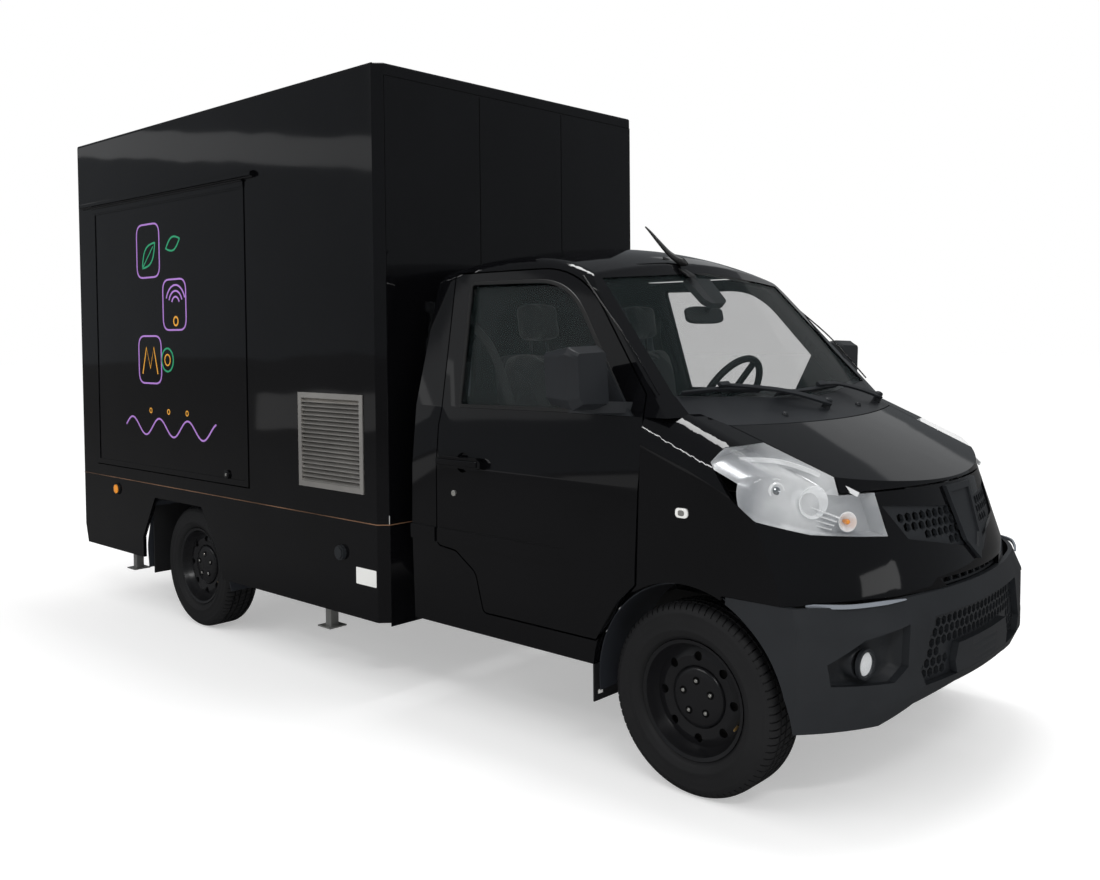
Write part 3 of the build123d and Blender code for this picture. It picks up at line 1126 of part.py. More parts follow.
# Front structure: radiator support, inner wings with strut towers, arch liners
with BuildPart() as front_structure:
    block(372, 412, -415, 415, RAIL_Z + RAIL_H, 940)
    for side, out in SIDES:
        plan_prism(
            [(BULKHEAD_X, out * 478), (298, out * 478), (376, out * 412), (384, out * 418), (302, out * 486),
             (BULKHEAD_X, out * 486)],
            640, 950,
        )
        y0, y1 = sorted((out * 478, out * 600))
        block(-90, 90, y0, y1, STRUT_TOP_Z + TOWER_GAP, STRUT_TOP_Z + TOWER_GAP + 8)
    block(RAIL_FRONT, RAIL_FRONT + 30, -520, 520, RAIL_Z + 10, RAIL_Z + RAIL_H - 10)
save(front_structure, "front_structure")

# Mirrors on the doors: a tapered housing on a base that covers the window's front corner
MIRROR_FACE = (
    (798, 1262), (812, 1440), (835, 1452), (980, 1448), (1000, 1425), (990, 1275), (960, 1240), (815, 1236),
)
MIRROR_X = -330
SAIL = ((-383, 1402), (-226, 1216), (-505, 1216))
SAIL_T = 12
for side, out in SIDES:
    with BuildPart() as sail:
        y0, y1 = sorted((out * DOOR_INNER, out * CAB_OUT))
        side_prism(SAIL, y0, y1)
        add(GREEN_OUT.moved(Location((0, out * SAIL_T, 0))), mode=Mode.INTERSECT)
    with BuildPart() as mirror_pod:
        for z_dir, depth, lean in ((-1, 105, 9), (1, 38, 30)):
            with BuildSketch(Plane((fx(MIRROR_X), 0, 0), x_dir=(0, z_dir, 0), z_dir=(z_dir, 0, 0))) as face:
                with BuildLine():
                    Polyline(*[(z_dir * out * y, z) for y, z in MIRROR_FACE], close=True)
                make_face()
                fillet(face.vertices(), 8)
            extrude(face.sketch, amount=depth, taper=lean)
        plan_prism([(-400, out * 760), (-235, out * 760), (-262, out * 800), (MIRROR_X, out * 850),
                    (-400, out * 850)], 1226, 1262)
        add(sail.part)
        add(GREEN_OUT, mode=Mode.SUBTRACT)
    save(mirror_pod, f"mirror_{side}")

# Inside the cab
SEAT_Y = 340
CUSHION_TOP = 880
BACK_TOP = 1440
with BuildPart() as seats:
    for side, out in SIDES:
        mid = out * SEAT_Y
        block(-1010, -510, mid - 235, mid + 235, FLOOR_Z + FLOOR_SHEET + 0.3, CUSHION_TOP)
        side_prism([(-1010, CUSHION_TOP - 60), (-880, CUSHION_TOP - 60), (-1040, BACK_TOP),
                    (-1130, BACK_TOP)], mid - 225, mid + 225)
        side_prism([(-1075, BACK_TOP + 20), (-1000, BACK_TOP + 20), (-1030, BACK_TOP + 185),
                    (-1105, BACK_TOP + 185)], mid - 115, mid + 115)
        for y in (mid - 55, mid + 55):
            rod((-1080, y, BACK_TOP - 10), (-1060, y, BACK_TOP + 30), 7)
save(seats, "seats")

DASH_GAP = 0.3
with BuildPart() as dash:
    side_prism(
        [(BULKHEAD_X - 14 - DASH_GAP, 700), (BULKHEAD_X - 14 - DASH_GAP, 1165), (-300, 1195), (-470, 1150),
         (-500, 1040), (-360, 880), (-300, 700)],
        -CAB_HALF + 115, CAB_HALF - 115,
    )
save(dash, "dashboard")

WHEEL_R = 193
WHEEL_X = -575
WHEEL_Z = 1212
COLUMN_DROP = 0.58         # fall of the steering column for each unit forward
COLUMN_FOOT_X = -440
with BuildPart() as steering:
    column = Plane((fx(WHEEL_X), SEAT_Y, WHEEL_Z), z_dir=(-0.865, 0, 0.502))
    column_top = (WHEEL_X + 16, SEAT_Y, WHEEL_Z - 16 * COLUMN_DROP)
    column_foot = (COLUMN_FOOT_X, SEAT_Y, WHEEL_Z - (COLUMN_FOOT_X - WHEEL_X) * COLUMN_DROP)
    rod(column_top, column_foot, 30)
    add(dash.part.moved(Location((-DASH_GAP, 0, 0))), mode=Mode.SUBTRACT)
    with Locations(column):
        Torus(WHEEL_R, 15)
    with BuildSketch(column.offset(-20)) as boss:
        Circle(62)
    extrude(boss.sketch, amount=32)
    for lean in (-160, -20, 90):
        with BuildSketch(column.offset(-8)) as spoke:
            with Locations(Rot(0, 0, lean) * Pos(WHEEL_R - 65, 0)):
                Rectangle(136, 34)
        extrude(spoke.sketch, amount=14)
save(steering, "steering_wheel")
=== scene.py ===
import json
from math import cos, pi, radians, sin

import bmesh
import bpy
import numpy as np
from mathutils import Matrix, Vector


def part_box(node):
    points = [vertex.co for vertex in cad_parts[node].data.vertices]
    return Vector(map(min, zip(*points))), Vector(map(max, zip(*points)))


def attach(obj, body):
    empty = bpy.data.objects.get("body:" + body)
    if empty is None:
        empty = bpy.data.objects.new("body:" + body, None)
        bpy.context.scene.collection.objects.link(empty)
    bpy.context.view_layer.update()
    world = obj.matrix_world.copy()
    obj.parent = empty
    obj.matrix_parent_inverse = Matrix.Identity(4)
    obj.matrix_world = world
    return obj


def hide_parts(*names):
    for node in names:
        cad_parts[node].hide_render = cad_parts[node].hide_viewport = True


bl_info = {
    "name": "Food truck",
    "version": (1, 1, 0),
    "blender": (4, 5, 0),
    "location": "3D View > Sidebar > Food truck",
    "description": "Gives the food truck its finishes, trim and fittings, and sets the studio around it",
    "category": "Add Mesh",
}

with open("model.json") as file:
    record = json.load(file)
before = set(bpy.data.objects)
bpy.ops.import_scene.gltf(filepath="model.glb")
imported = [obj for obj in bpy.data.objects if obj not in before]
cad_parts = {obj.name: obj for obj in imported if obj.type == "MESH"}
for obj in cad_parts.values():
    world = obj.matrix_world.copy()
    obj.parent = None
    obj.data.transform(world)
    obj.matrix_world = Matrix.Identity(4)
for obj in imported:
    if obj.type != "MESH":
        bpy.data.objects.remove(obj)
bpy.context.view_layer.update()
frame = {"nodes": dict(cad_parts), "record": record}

NODES = frame["nodes"]

# Places that pieces share. Pieces are drawn in millimetres ahead of the front axle, to the left and up.
AXLE_FRONT_X = sum(v.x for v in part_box("tyre_front_right")) / 2
AXLE_REAR = (sum(v.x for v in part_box("tyre_rear_right")) / 2 - AXLE_FRONT_X) * 1000
WHEEL_R = 312
HUB_Y = 697.5
BOX_HALF = 840
BOX_FRONT = -1475
BOX_REAR = -4240
BOX_TOP = 2600
CORNER_CUT = 37
REAR_ARCH = ((-3538, 250), (-3538, 417), (-3400, 641), (-2920, 641), (-2870, 577), (-2790, 456), (-2700, 250))
FRONT_ARCH_X = -14
LINING_R = 372
SIDES = (("right", -1), ("left", 1))
FINISHES = {}


def axle(points):
    """Millimetres from the middle of the front axle, as metres in the row frame."""
    return np.asarray(points, float) * 0.001 + (AXLE_FRONT_X, 0.0, 0.0)


def mirrored(points, side):
    """Points drawn for the left side, taken to the side whose y has that sign."""
    return np.asarray(points, float) * (1, side, 1)


def facing(outline, x):
    """An outline of (y, z) stood up across the truck at x."""
    return np.insert(np.asarray(outline, float), 0, x, axis=1)


# Surfaces. Each function returns the points and faces of one shape.

def grid_faces(rows, cols, wrap_u=False, wrap_v=False):
    """Quads between neighbours of a grid of points, joined end to end where it wraps."""
    index = np.arange(rows * cols).reshape(rows, cols)
    if wrap_u:
        index = np.concatenate([index, index[:1]], axis=0)
    if wrap_v:
        index = np.concatenate([index, index[:, :1]], axis=1)
    corners = (index[:-1, :-1], index[1:, :-1], index[1:, 1:], index[:-1, 1:])
    return np.stack(corners, axis=-1).reshape(-1, 4).tolist()


def sheet(points, wrap_u=False, wrap_v=False):
    """A surface over a grid of points[u, v, xyz]."""
    points = np.asarray(points, float)
    return points.reshape(-1, 3), grid_faces(*points.shape[:2], wrap_u, wrap_v)


def unit(vectors):
    """Vectors divided by their lengths."""
    vectors = np.asarray(vectors, float)
    return vectors / np.linalg.norm(vectors, axis=-1, keepdims=True)


def square_to(axis):
    """The unit axis, and two unit vectors square to it and to each other."""
    axis = unit(axis)
    helper = np.array((0, 0, 1.0)) if abs(axis[2]) < 0.9 else np.array((1.0, 0, 0))
    across = unit(np.cross(helper, axis))
    return axis, across, np.cross(axis, across)


def turned(profile, centre, axis, steps=48):
    """A profile of (along, radius) turned about an axis: centre + along axis + radius (cos t a + sin t b)."""
    profile = np.asarray(profile, float)
    axis, a, b = square_to(axis)
    turn = np.linspace(0, 2 * pi, steps, endpoint=False)[:, None]
    ring = np.cos(turn) * a + np.sin(turn) * b
    points = np.asarray(centre) + profile[None, :, :1] * axis + profile[None, :, 1:] * ring[:, None, :]
    return sheet(points, wrap_u=True)


def path_frame(path, wrap):
    """The direction of a path at each point: the difference of its two neighbours."""
    ahead = np.roll(path, -1, 0) - np.roll(path, 1, 0) if wrap else np.gradient(path, axis=0)
    return unit(ahead)


def capped(points, wrap):
    """Rings of points along a path, closed with a flat face at each end unless the path is a loop."""
    count = points.shape[1]
    verts, faces = sheet(points, wrap_u=wrap, wrap_v=True)
    if not wrap:
        faces += [list(range(count)), list(range(len(verts) - 1, len(verts) - count - 1, -1))]
    return verts, faces


def tube(path, radius, sides=10, wrap=False):
    """A circle carried along a path: path + radius (cos t a + sin t b), with a and b square to the path."""
    path = np.asarray(path, float)
    ahead = path_frame(path, wrap)
    helper = np.eye(3)[np.abs(ahead).mean(0).argmin()]
    a = unit(np.cross(ahead, helper))
    b = np.cross(ahead, a)
    turn = np.linspace(0, 2 * pi, sides, endpoint=False)[None, :, None]
    radius = np.broadcast_to(radius, len(path)).reshape(-1, 1, 1)
    return capped(path[:, None] + radius * (np.cos(turn) * a[:, None] + np.sin(turn) * b[:, None]), wrap)


def bar(path, across, width, depth, wrap=False):
    """A rectangle carried along a path: path + p width across + q depth (path direction x across)."""
    path = np.asarray(path, float)
    ahead = path_frame(path, wrap)
    across = np.broadcast_to(unit(across), path.shape)
    up = unit(np.cross(ahead, across))
    across = np.cross(up, ahead)
    corners = np.array([(-0.5, -0.5), (0.5, -0.5), (0.5, 0.5), (-0.5, 0.5)])
    width = np.broadcast_to(width, len(path)).reshape(-1, 1, 1)
    depth = np.broadcast_to(depth, len(path)).reshape(-1, 1, 1)
    p, q = corners[None, :, :1], corners[None, :, 1:]
    return capped(path[:, None] + p * width * across[:, None] + q * depth * up[:, None], wrap)


def plate(outline, lift):
    """A flat outline and the same outline moved by lift, joined round their edges."""
    outline = np.asarray(outline, float)
    count = len(outline)
    points = np.stack([outline, outline + lift])
    ends = [list(range(count)), list(range(2 * count - 1, count - 1, -1))]
    return points.reshape(-1, 3), grid_faces(2, count, wrap_v=True) + ends


def rounded(corners, reach, steps=7):
    """A polygon whose corners become parabolas between points that lie reach before and after each corner."""
    corners = np.asarray(corners, float)
    before, after = np.roll(corners, 1, 0) - corners, np.roll(corners, -1, 0) - corners
    long_before, long_after = np.linalg.norm(before, axis=1), np.linalg.norm(after, axis=1)
    reach = np.minimum(reach, 0.49 * np.minimum(long_before, long_after))[:, None, None]
    t = np.linspace(0, 1, steps)[None, :, None]
    start = corners[:, None] + unit(before)[:, None] * reach
    end = corners[:, None] + unit(after)[:, None] * reach
    bent = (1 - t) ** 2 * start + 2 * t * (1 - t) * corners[:, None] + t ** 2 * end
    return bent.reshape(-1, corners.shape[1])


def curve(points, count, wrap=False):
    """A smooth line through points: on each span a cubic whose slopes are half the way between neighbours."""
    points = np.asarray(points, float)
    ends = (points[-1:], points, points[:2]) if wrap else (
        2 * points[:1] - points[1:2], points, 2 * points[-1:] - points[-2:-1])
    padded = np.concatenate(ends)
    spans = len(points) if wrap else len(points) - 1
    along = np.linspace(0, spans, count, endpoint=not wrap)
    k = np.minimum(along.astype(int), spans - 1)
    t = (along - k)[:, None]
    a, b, c, d = padded[k], padded[k + 1], padded[k + 2], padded[k + 3]
    square, cube = 2 * a - 5 * b + 4 * c - d, 3 * b - a - 3 * c + d
    return 0.5 * (2 * b + (c - a) * t + square * t ** 2 + cube * t ** 3)


def pillow(half, lean=0.0, centre=(0, 0, 0), square=0.32, rows=40, cols=64):
    """A superellipsoid: each coordinate is a half size times cosines or sines to a small power; it leans."""
    def power(value, p):
        return np.sign(value) * np.abs(value) ** p

    u = np.linspace(-pi / 2, pi / 2, rows)[:, None]
    v = np.linspace(0, 2 * pi, cols, endpoint=False)[None, :]
    ring = power(np.cos(u), square)
    x = half[0] * ring * power(np.cos(v), square)
    y = half[1] * ring * power(np.sin(v), square)
    z = half[2] * power(np.sin(u), square) * np.ones_like(v)
    points = np.stack([x * cos(lean) - z * sin(lean), y, x * sin(lean) + z * cos(lean)], axis=-1)
    return sheet(points + np.asarray(centre, float), wrap_v=True)


def side_y(z):
    """Half width of the cab at a height: straight between the levels where the side changes its lean."""
    return np.interp(z, (295, 720, 980, 1213, 1700), (793, 805, 800, 775, 645))


def on_side(outline, side, proud):
    """Points of (x, z) on the cab's side, proud of it."""
    outline = np.asarray(outline, float)
    return np.stack([outline[:, 0], side * (side_y(outline[:, 1]) + proud), outline[:, 1]], axis=-1)


def grown(outline, by):
    """A round outline made larger: each point moves outwards, square to the line through its neighbours."""
    along = np.roll(outline, -1, 0) - np.roll(outline, 1, 0)
    out = unit(np.stack([along[:, 1], -along[:, 0]], axis=-1))
    area = np.sum(outline[:, 0] * np.roll(outline[:, 1], -1) - outline[:, 1] * np.roll(outline[:, 0], -1))
    return outline + out * by * np.sign(area)


def piece(name, shapes, body, finish, bevel=0.0, smooth=35, thick=0.0):
    """Put shapes together in one mesh with its normals outwards; it rides on a body and wears a finish."""
    starts = np.cumsum([0] + [len(points) for points, _ in shapes])
    faces = [[start + i for i in face] for (_, fan), start in zip(shapes, starts.tolist()) for face in fan]
    mesh = bpy.data.meshes.new(name)
    mesh.from_pydata(axle(np.concatenate([points for points, _ in shapes])).tolist(), [], faces)
    form = bmesh.new()
    form.from_mesh(mesh)
    bmesh.ops.remove_doubles(form, verts=form.verts, dist=0.000005)
    bmesh.ops.recalc_face_normals(form, faces=form.faces)
    form.to_mesh(mesh)
    form.free()
    return dress(name, mesh, body, finish, bevel, smooth, thick)


def dress(name, mesh, body, finish, bevel=0.0, smooth=35, thick=0.0):
    """Make an object of a mesh, shade it smooth up to an angle, and finish its edges."""
    made = bpy.data.objects.new(name, mesh)
    bpy.context.scene.collection.objects.link(made)
    mesh.materials.clear()
    mesh.materials.append(FINISHES[finish])
    mesh.polygons.foreach_set("use_smooth", np.ones(len(mesh.polygons), bool))
    mesh.set_sharp_from_angle(angle=radians(smooth))
    if thick:
        wall = made.modifiers.new("wall", "SOLIDIFY")
        wall.thickness = thick * 0.001
        wall.offset = -1
    if bevel:
        edge = made.modifiers.new("edges", "BEVEL")
        edge.width = bevel * 0.001
        edge.segments = 2
        edge.limit_method = "ANGLE"
    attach(made, body)
    return made


# Materials

def material(name):
    """An empty node material with its shader, and a function that adds nodes to it."""
    mat = bpy.data.materials.new(name)
    mat.use_nodes = True
    shader = mat.node_tree.nodes["Principled BSDF"]

    def node(kind, **values):
        made = mat.node_tree.nodes.new(kind)
        for key, value in values.items():
            if key in made.inputs:
                made.inputs[key].default_value = value
            else:
                setattr(made, key, value)
        return made

    return mat, shader, node, mat.node_tree.links.new


def toned(shader, node, link, color, shares, scale, detail, ends=(0.0, 1.0)):
    """Drift the colour between two shares of itself by a slow noise; gives the coordinates and the noise."""
    where = node("ShaderNodeTexCoord")
    drift = node("ShaderNodeTexNoise", Scale=scale, Detail=detail)
    link(where.outputs["Object"], drift.inputs["Vector"])
    tone = node("ShaderNodeValToRGB")
    for element, end, share in zip(tone.color_ramp.elements, ends, shares):
        element.position = end
        element.color = (*(min(1, c * share) for c in color), 1)
    link(drift.outputs["Fac"], tone.inputs["Fac"])
    link(tone.outputs["Color"], shader.inputs["Base Color"])
    return where, drift


def surface(name, color, roughness, metallic=0.0, coat=0.0, grain=400.0, bump=0.02, vary=0.15, specular=0.5,
            wave=0.0):
    """A finish whose colour and roughness drift a little over the piece, with a fine grain in its bump."""
    mat, shader, node, link = material(name)
    shader.inputs["Metallic"].default_value = metallic
    shader.inputs["Coat Weight"].default_value = coat
    shader.inputs["Coat Roughness"].default_value = 0.03
    shader.inputs["Specular IOR Level"].default_value = specular
    where, drift = toned(shader, node, link, color, (1 - vary, 1 + vary), 3.0, 4.0, (0.3, 0.7))
    rough = node("ShaderNodeMapRange")
    rough.inputs["To Min"].default_value = roughness * 0.85
    rough.inputs["To Max"].default_value = min(1.0, roughness * 1.2)
    link(drift.outputs["Fac"], rough.inputs["Value"])
    link(rough.outputs["Result"], shader.inputs["Roughness"])
    fine = node("ShaderNodeTexNoise", Scale=grain, Detail=2.0)
    link(where.outputs["Object"], fine.inputs["Vector"])
    rise = node("ShaderNodeBump", Strength=bump, Distance=0.001)
    link(fine.outputs["Fac"], rise.inputs["Height"])
    if wave:
        swell = node("ShaderNodeTexNoise", Scale=2.2, Detail=1.0)
        link(where.outputs["Object"], swell.inputs["Vector"])
        sag = node("ShaderNodeBump", Strength=wave, Distance=0.02)
        link(swell.outputs["Fac"], sag.inputs["Height"])
        link(sag.outputs["Normal"], rise.inputs["Normal"])
    link(rise.outputs["Normal"], shader.inputs["Normal"])
    return mat


def cloth(name, color):
    """Woven cloth: two crossed sets of fine bands lift the threads, over a slow drift of the colour."""
    mat, shader, node, link = material(name)
    where, _ = toned(shader, node, link, color, (0.75, 1.3), 9.0, 3.0)
    heights = []
    for direction in ("X", "Z"):
        band = node("ShaderNodeTexWave", Scale=260.0, Distortion=0.6, bands_direction=direction)
        link(where.outputs["Object"], band.inputs["Vector"])
        heights.append(band)
    weave = node("ShaderNodeMath", operation="ADD")
    link(heights[0].outputs["Fac"], weave.inputs[0])
    link(heights[1].outputs["Fac"], weave.inputs[1])
    rise = node("ShaderNodeBump", Strength=0.35, Distance=0.0008)
    link(weave.outputs[0], rise.inputs["Height"])
    link(rise.outputs["Normal"], shader.inputs["Normal"])
    shader.inputs["Roughness"].default_value = 0.92
    shader.inputs["Sheen Weight"].default_value = 0.3
    shader.inputs["Specular IOR Level"].default_value = 0.2
    return mat


def clear(name, color, alpha):
    """Thin glass: mostly open to the light, tinted a little, with its own gloss."""
    mat, shader, node, link = material(name)
    toned(shader, node, link, color, (0.9, 1.0), 4.0, 2.0)
    shader.inputs["Roughness"].default_value = 0.02
    shader.inputs["Alpha"].default_value = alpha
    shader.inputs["Specular IOR Level"].default_value = 1.0
    return mat


def make_finishes():
    """Every finish of the truck, by the name that the frame's slots and the pieces use."""
    look = bpy.context.scene.truck_finish
    paint = tuple(look.paint)
    plastic = tuple(look.plastic)
    FINISHES.update({
        "body_black": surface("body black paint", paint, 0.05, grain=900, bump=0.004, wave=0.05),
        "box_black": surface("box black panel", paint, 0.045, grain=60, bump=0.006, wave=0.12),
        "frame_black": surface("chassis black paint", (0.012, 0.012, 0.012), 0.45, grain=700, bump=0.1),
        "dark_plastic": surface("grained dark plastic", plastic, 0.42, grain=1500, bump=0.12, specular=0.4),
        "trim_metal": surface("natural aluminium", (0.62, 0.60, 0.57), 0.32, metallic=0.85, grain=300,
                              bump=0.03),
        "bare_steel": surface("galvanised steel", (0.42, 0.42, 0.41), 0.45, metallic=0.8, grain=200,
                              bump=0.1),
        "cast": surface("cast iron", (0.05, 0.047, 0.044), 0.7, metallic=0.4, grain=250, bump=0.3),
        "tyre_rubber": surface("tyre rubber", (0.011, 0.011, 0.012), 0.55, grain=900, bump=0.1,
                               specular=0.35),
        "flap_rubber": surface("flap rubber", (0.012, 0.012, 0.013), 0.4, grain=900, bump=0.05),
        "clear_glass": clear("window glass", (0.02, 0.03, 0.03), 0.2),
        "lamp_glass": clear("lamp glass", (0.3, 0.33, 0.36), 0.06),
        "lamp_red": surface("red lens", (0.3, 0.008, 0.008), 0.1, coat=1.0, grain=500, bump=0.05),
        "seat_cloth": cloth("seat cloth", (0.022, 0.022, 0.024)),
        "inner_plastic": surface("cab plastic", (0.03, 0.031, 0.034), 0.6, grain=900, bump=0.1),
        "box_lining": surface("box lining", (0.5, 0.5, 0.5), 0.4, grain=200, bump=0.05),
        "wheel_black": surface("wheel black paint", (0.008, 0.008, 0.009), 0.25, grain=500, bump=0.05),
        # Lamp chrome: silver metal, made near white and mostly matt, so that its colour also paints the
        # bright reflection of the room
        "chrome_and_painted_reflection": surface("lamp chrome and painted reflection", (0.95, 0.96, 0.98), 0.15, metallic=0.3, grain=40, bump=0.02,
                          vary=0.04),
        # Inside of the headlamps: grey metal, made bright bluish grey and partly matt, so that its colour
        # also paints the reflection of the room
        "bowl_and_painted_reflection": surface("lamp bowl and painted reflection", (0.62, 0.65, 0.7), 0.25, metallic=0.35, grain=26, bump=0.3, vary=0.6),
        "bolt_steel": surface("zinc plated steel", (0.75, 0.74, 0.7), 0.25, metallic=0.9, grain=300,
                              bump=0.05),
        "brass": surface("brass", (0.75, 0.5, 0.2), 0.3, metallic=0.9, grain=300, bump=0.03),
        "rubber": surface("window rubber", (0.009, 0.009, 0.009), 0.45, grain=700, bump=0.04),
        # Near black and barely glossy: painted shade for hollows and grooves
        "painted_shade": surface("painted shade in openings", (0.002, 0.002, 0.002), 0.8, grain=500, bump=0.02, specular=0.1),
        "amber": surface("amber lens", (0.8, 0.28, 0.02), 0.12, coat=1.0, grain=500, bump=0.05),
        "white_lens": surface("white lens", (0.8, 0.8, 0.78), 0.15, coat=1.0, grain=300, bump=0.05),
        "paper": surface("blank label", (0.72, 0.72, 0.7), 0.5, grain=300, bump=0.02, vary=0.04),
        "copper": surface("copper brown film", (0.22, 0.12, 0.07), 0.25, metallic=0.4, grain=60, bump=0.02,
                          vary=0.5),
        "lilac": surface("lilac film", (0.42, 0.2, 0.62), 0.4, grain=300, bump=0.02, vary=0.05),
        "green": surface("green film", (0.02, 0.34, 0.16), 0.4, grain=300, bump=0.02, vary=0.05),
        "orange": surface("orange film", (0.8, 0.36, 0.03), 0.4, grain=300, bump=0.02, vary=0.05),
        "mirror": surface("mirror glass", (0.8, 0.82, 0.84), 0.03, metallic=1.0, grain=40, bump=0.002,
                          vary=0.02),
        "pillar_trim": surface("grey pillar trim", (0.2, 0.22, 0.25), 0.6, grain=900, bump=0.08),
        "lining": surface("arch lining", (0.02, 0.023, 0.03), 0.55, grain=700, bump=0.1),
        "webbing": cloth("belt webbing", (0.035, 0.035, 0.037)),
    })


def smoothing_group():
    """Merge a node's loose triangles and shade them smooth across all but the sharp edges."""
    group = bpy.data.node_groups.new("smooth panels", "GeometryNodeTree")
    group.interface.new_socket("Geometry", in_out="INPUT", socket_type="NodeSocketGeometry")
    group.interface.new_socket("Geometry", in_out="OUTPUT", socket_type="NodeSocketGeometry")
    new, link = group.nodes.new, group.links.new
    source, result = new("NodeGroupInput"), new("NodeGroupOutput")
    merge = new("GeometryNodeMergeByDistance")
    merge.inputs["Distance"].default_value = 0.00002
    faces = new("GeometryNodeSetShadeSmooth")
    faces.inputs["Shade Smooth"].default_value = True
    edges = new("GeometryNodeSetShadeSmooth")
    edges.domain = "EDGE"
    edges.inputs["Shade Smooth"].default_value = False
    angle = new("GeometryNodeInputMeshEdgeAngle")
    sharp = new("FunctionNodeCompare")
    sharp.operation = "GREATER_THAN"
    sharp.inputs["B"].default_value = radians(28)
    link(source.outputs["Geometry"], merge.inputs["Geometry"])
    link(merge.outputs["Geometry"], faces.inputs["Geometry"])
    link(faces.outputs["Geometry"], edges.inputs["Geometry"])
    link(angle.outputs["Unsigned Angle"], sharp.inputs["A"])
    link(sharp.outputs["Result"], edges.inputs["Selection"])
    link(edges.outputs["Geometry"], result.inputs["Geometry"])
    return group


class TRUCK_OT_finishes(bpy.types.Operator):
    """Give every frame node its material and smooth shading"""
    bl_idname = "truck.finishes"
    bl_label = "Finishes"

    def execute(self, context):
        make_finishes()
        group = smoothing_group()
        own = {"rim": "wheel_black", "mirror": "dark_plastic"}
        for part in frame["record"]["subparts"]:
            node = NODES[part["node"]]
            finish = own.get(part["node"].split("_")[0], part["material_slot"])
            node.data.materials.clear()
            node.data.materials.append(FINISHES[finish])
            modifier = node.modifiers.new("smooth panels", "NODES")
            modifier.node_group = group
            weighted = node.modifiers.new("flat panels stay flat", "WEIGHTED_NORMAL")
            weighted.keep_sharp = True
        return {"FINISHED"}


# Wheels

SIDEWALL = (
    (190.6, 66), (195, 69), (199, 76), (204, 82.5), (211, 86.5), (222, 90), (226, 92.4), (231, 92.4),
    (234, 91.2), (250, 92), (262, 91.5), (276, 88.6), (279, 89.4), (284, 87.6), (287, 85.4), (292, 83.5),
)
SHOULDER = ((297, 80.5), (302, 76.5), (306, 71.5), (309, 66), (311, 60), (311.6, 52))
GROOVES = (47, 17)
GROOVE_HALF = 3.6
GROOVE_DEPTH = 8
BLOCKS = 78
BOLT_CIRCLE_R = 55
# The dark disc round each bolt: painted shade of the pit it stands in
BOLT_PIT_SHADE = ((30, 0), (44.4, 0), (44.4, 11), (43.6, 13), (30, 13), (30, 0))
BOLT_HEAD = ((40, 0), (40, 6.5), (46, 6.5), (47.5, 5), (47.5, 2.4), (46, 2), (46, 0))
DRUM = ((-12, 0), (-12, 156), (-6, 158), (-4, 154), (-4, 0))
VALVE = ((0, 0), (0, 4.5), (22, 4), (22, 3), (30, 3), (30, 0))


def tyre(x, y, side):
    """A tyre: a cross-section (radius, along, slit depth) turned about the axle, less the slit at gaps."""
    half = [(r, a, 0) for r, a in SIDEWALL] + [(r, a, 5.5) for r, a in SHOULDER]
    for middle in GROOVES:
        floor = WHEEL_R - GROOVE_DEPTH
        half += [(WHEEL_R - 0.3, middle + GROOVE_HALF + 1, 3), (floor, middle + GROOVE_HALF, 0),
                 (floor, middle - GROOVE_HALF, 0), (WHEEL_R, middle - GROOVE_HALF - 1, 3)]
    half = np.array(half)
    profile = np.concatenate([half, half[::-1] * (1, -1, 1)])
    share = np.array((0.0, 0.80, 0.83, 0.97))
    turn = (np.arange(BLOCKS)[:, None] + share).ravel() * 2 * pi / BLOCKS
    slit = np.tile((0.0, 0.0, 1.0, 1.0), BLOCKS)
    radius = profile[None, :, 0] - slit[:, None] * profile[None, :, 2]
    lean = turn[:, None] + 0.0006 * profile[None, :, 1]
    points = np.stack([x + radius * np.sin(lean), y + side * profile[None, :, 1] + 0 * radius,
                       WHEEL_R + radius * np.cos(lean)], axis=-1)
    return sheet(points, wrap_u=True, wrap_v=True)


def hub_cover(x, y, side):
    """A domed disc over the hub, turned from its edge to the middle."""
    profile = ((20, 0), (20, 88), (27, 98), (31, 98), (36.5, 94), (40, 84), (42.5, 58), (43, 20), (43, 0))
    return turned(profile, (x, y, WHEEL_R), (0, side, 0), 72)


class TRUCK_OT_wheels(bpy.types.Operator):
    """Tyres with tread and sidewalls, hub covers with their bolts, and valves"""
    bl_idname = "truck.wheels"
    bl_label = "Wheels"

    def execute(self, context):
        for end, x in (("front", 0), ("rear", AXLE_REAR)):
            for name, side in SIDES:
                body = f"wheel_{end}_{name}"
                y = side * HUB_Y
                rubber = piece(f"tread_{end}_{name}", [tyre(x, y, side)], body, "tyre_rubber", smooth=40)
                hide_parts(f"tyre_{end}_{name}")
                piece(f"hub_cover_{end}_{name}", [hub_cover(x, y, side)], body, "wheel_black", smooth=50)
                turn = np.linspace(0, 2 * pi, 5, endpoint=False) + radians(20)
                spots = [(x + BOLT_CIRCLE_R * cos(t), y, WHEEL_R + BOLT_CIRCLE_R * sin(t)) for t in turn]
                out = (0, side, 0)
                # Dark discs round the bolts, painted shade of their pits
                pit_shades = [turned(BOLT_PIT_SHADE, spot, out, 24) for spot in spots]
                piece(f"bolt_pit_shades_{end}_{name}", pit_shades, body, "painted_shade")
                bolts = [turned(BOLT_HEAD, spot, out, 12) for spot in spots]
                piece(f"wheel_bolts_{end}_{name}", bolts, body, "bolt_steel", smooth=30)
                piece(f"brake_drum_{end}_{name}", [turned(DRUM, (x, y, WHEEL_R), out, 60)], body, "cast")
                stem = turned(VALVE, (x + 146, y + side * 30, WHEEL_R - 62), (0.2, side, -0.1), 16)
                piece(f"valve_{end}_{name}", [stem], body, "brass")
        return {"FINISHED"}


# Lamps

def read(items, name):
    """One value of three numbers of every item, as an array."""
    values = np.empty(len(items) * 3)
    items.foreach_get(name, values)
    return values.reshape(-1, 3)


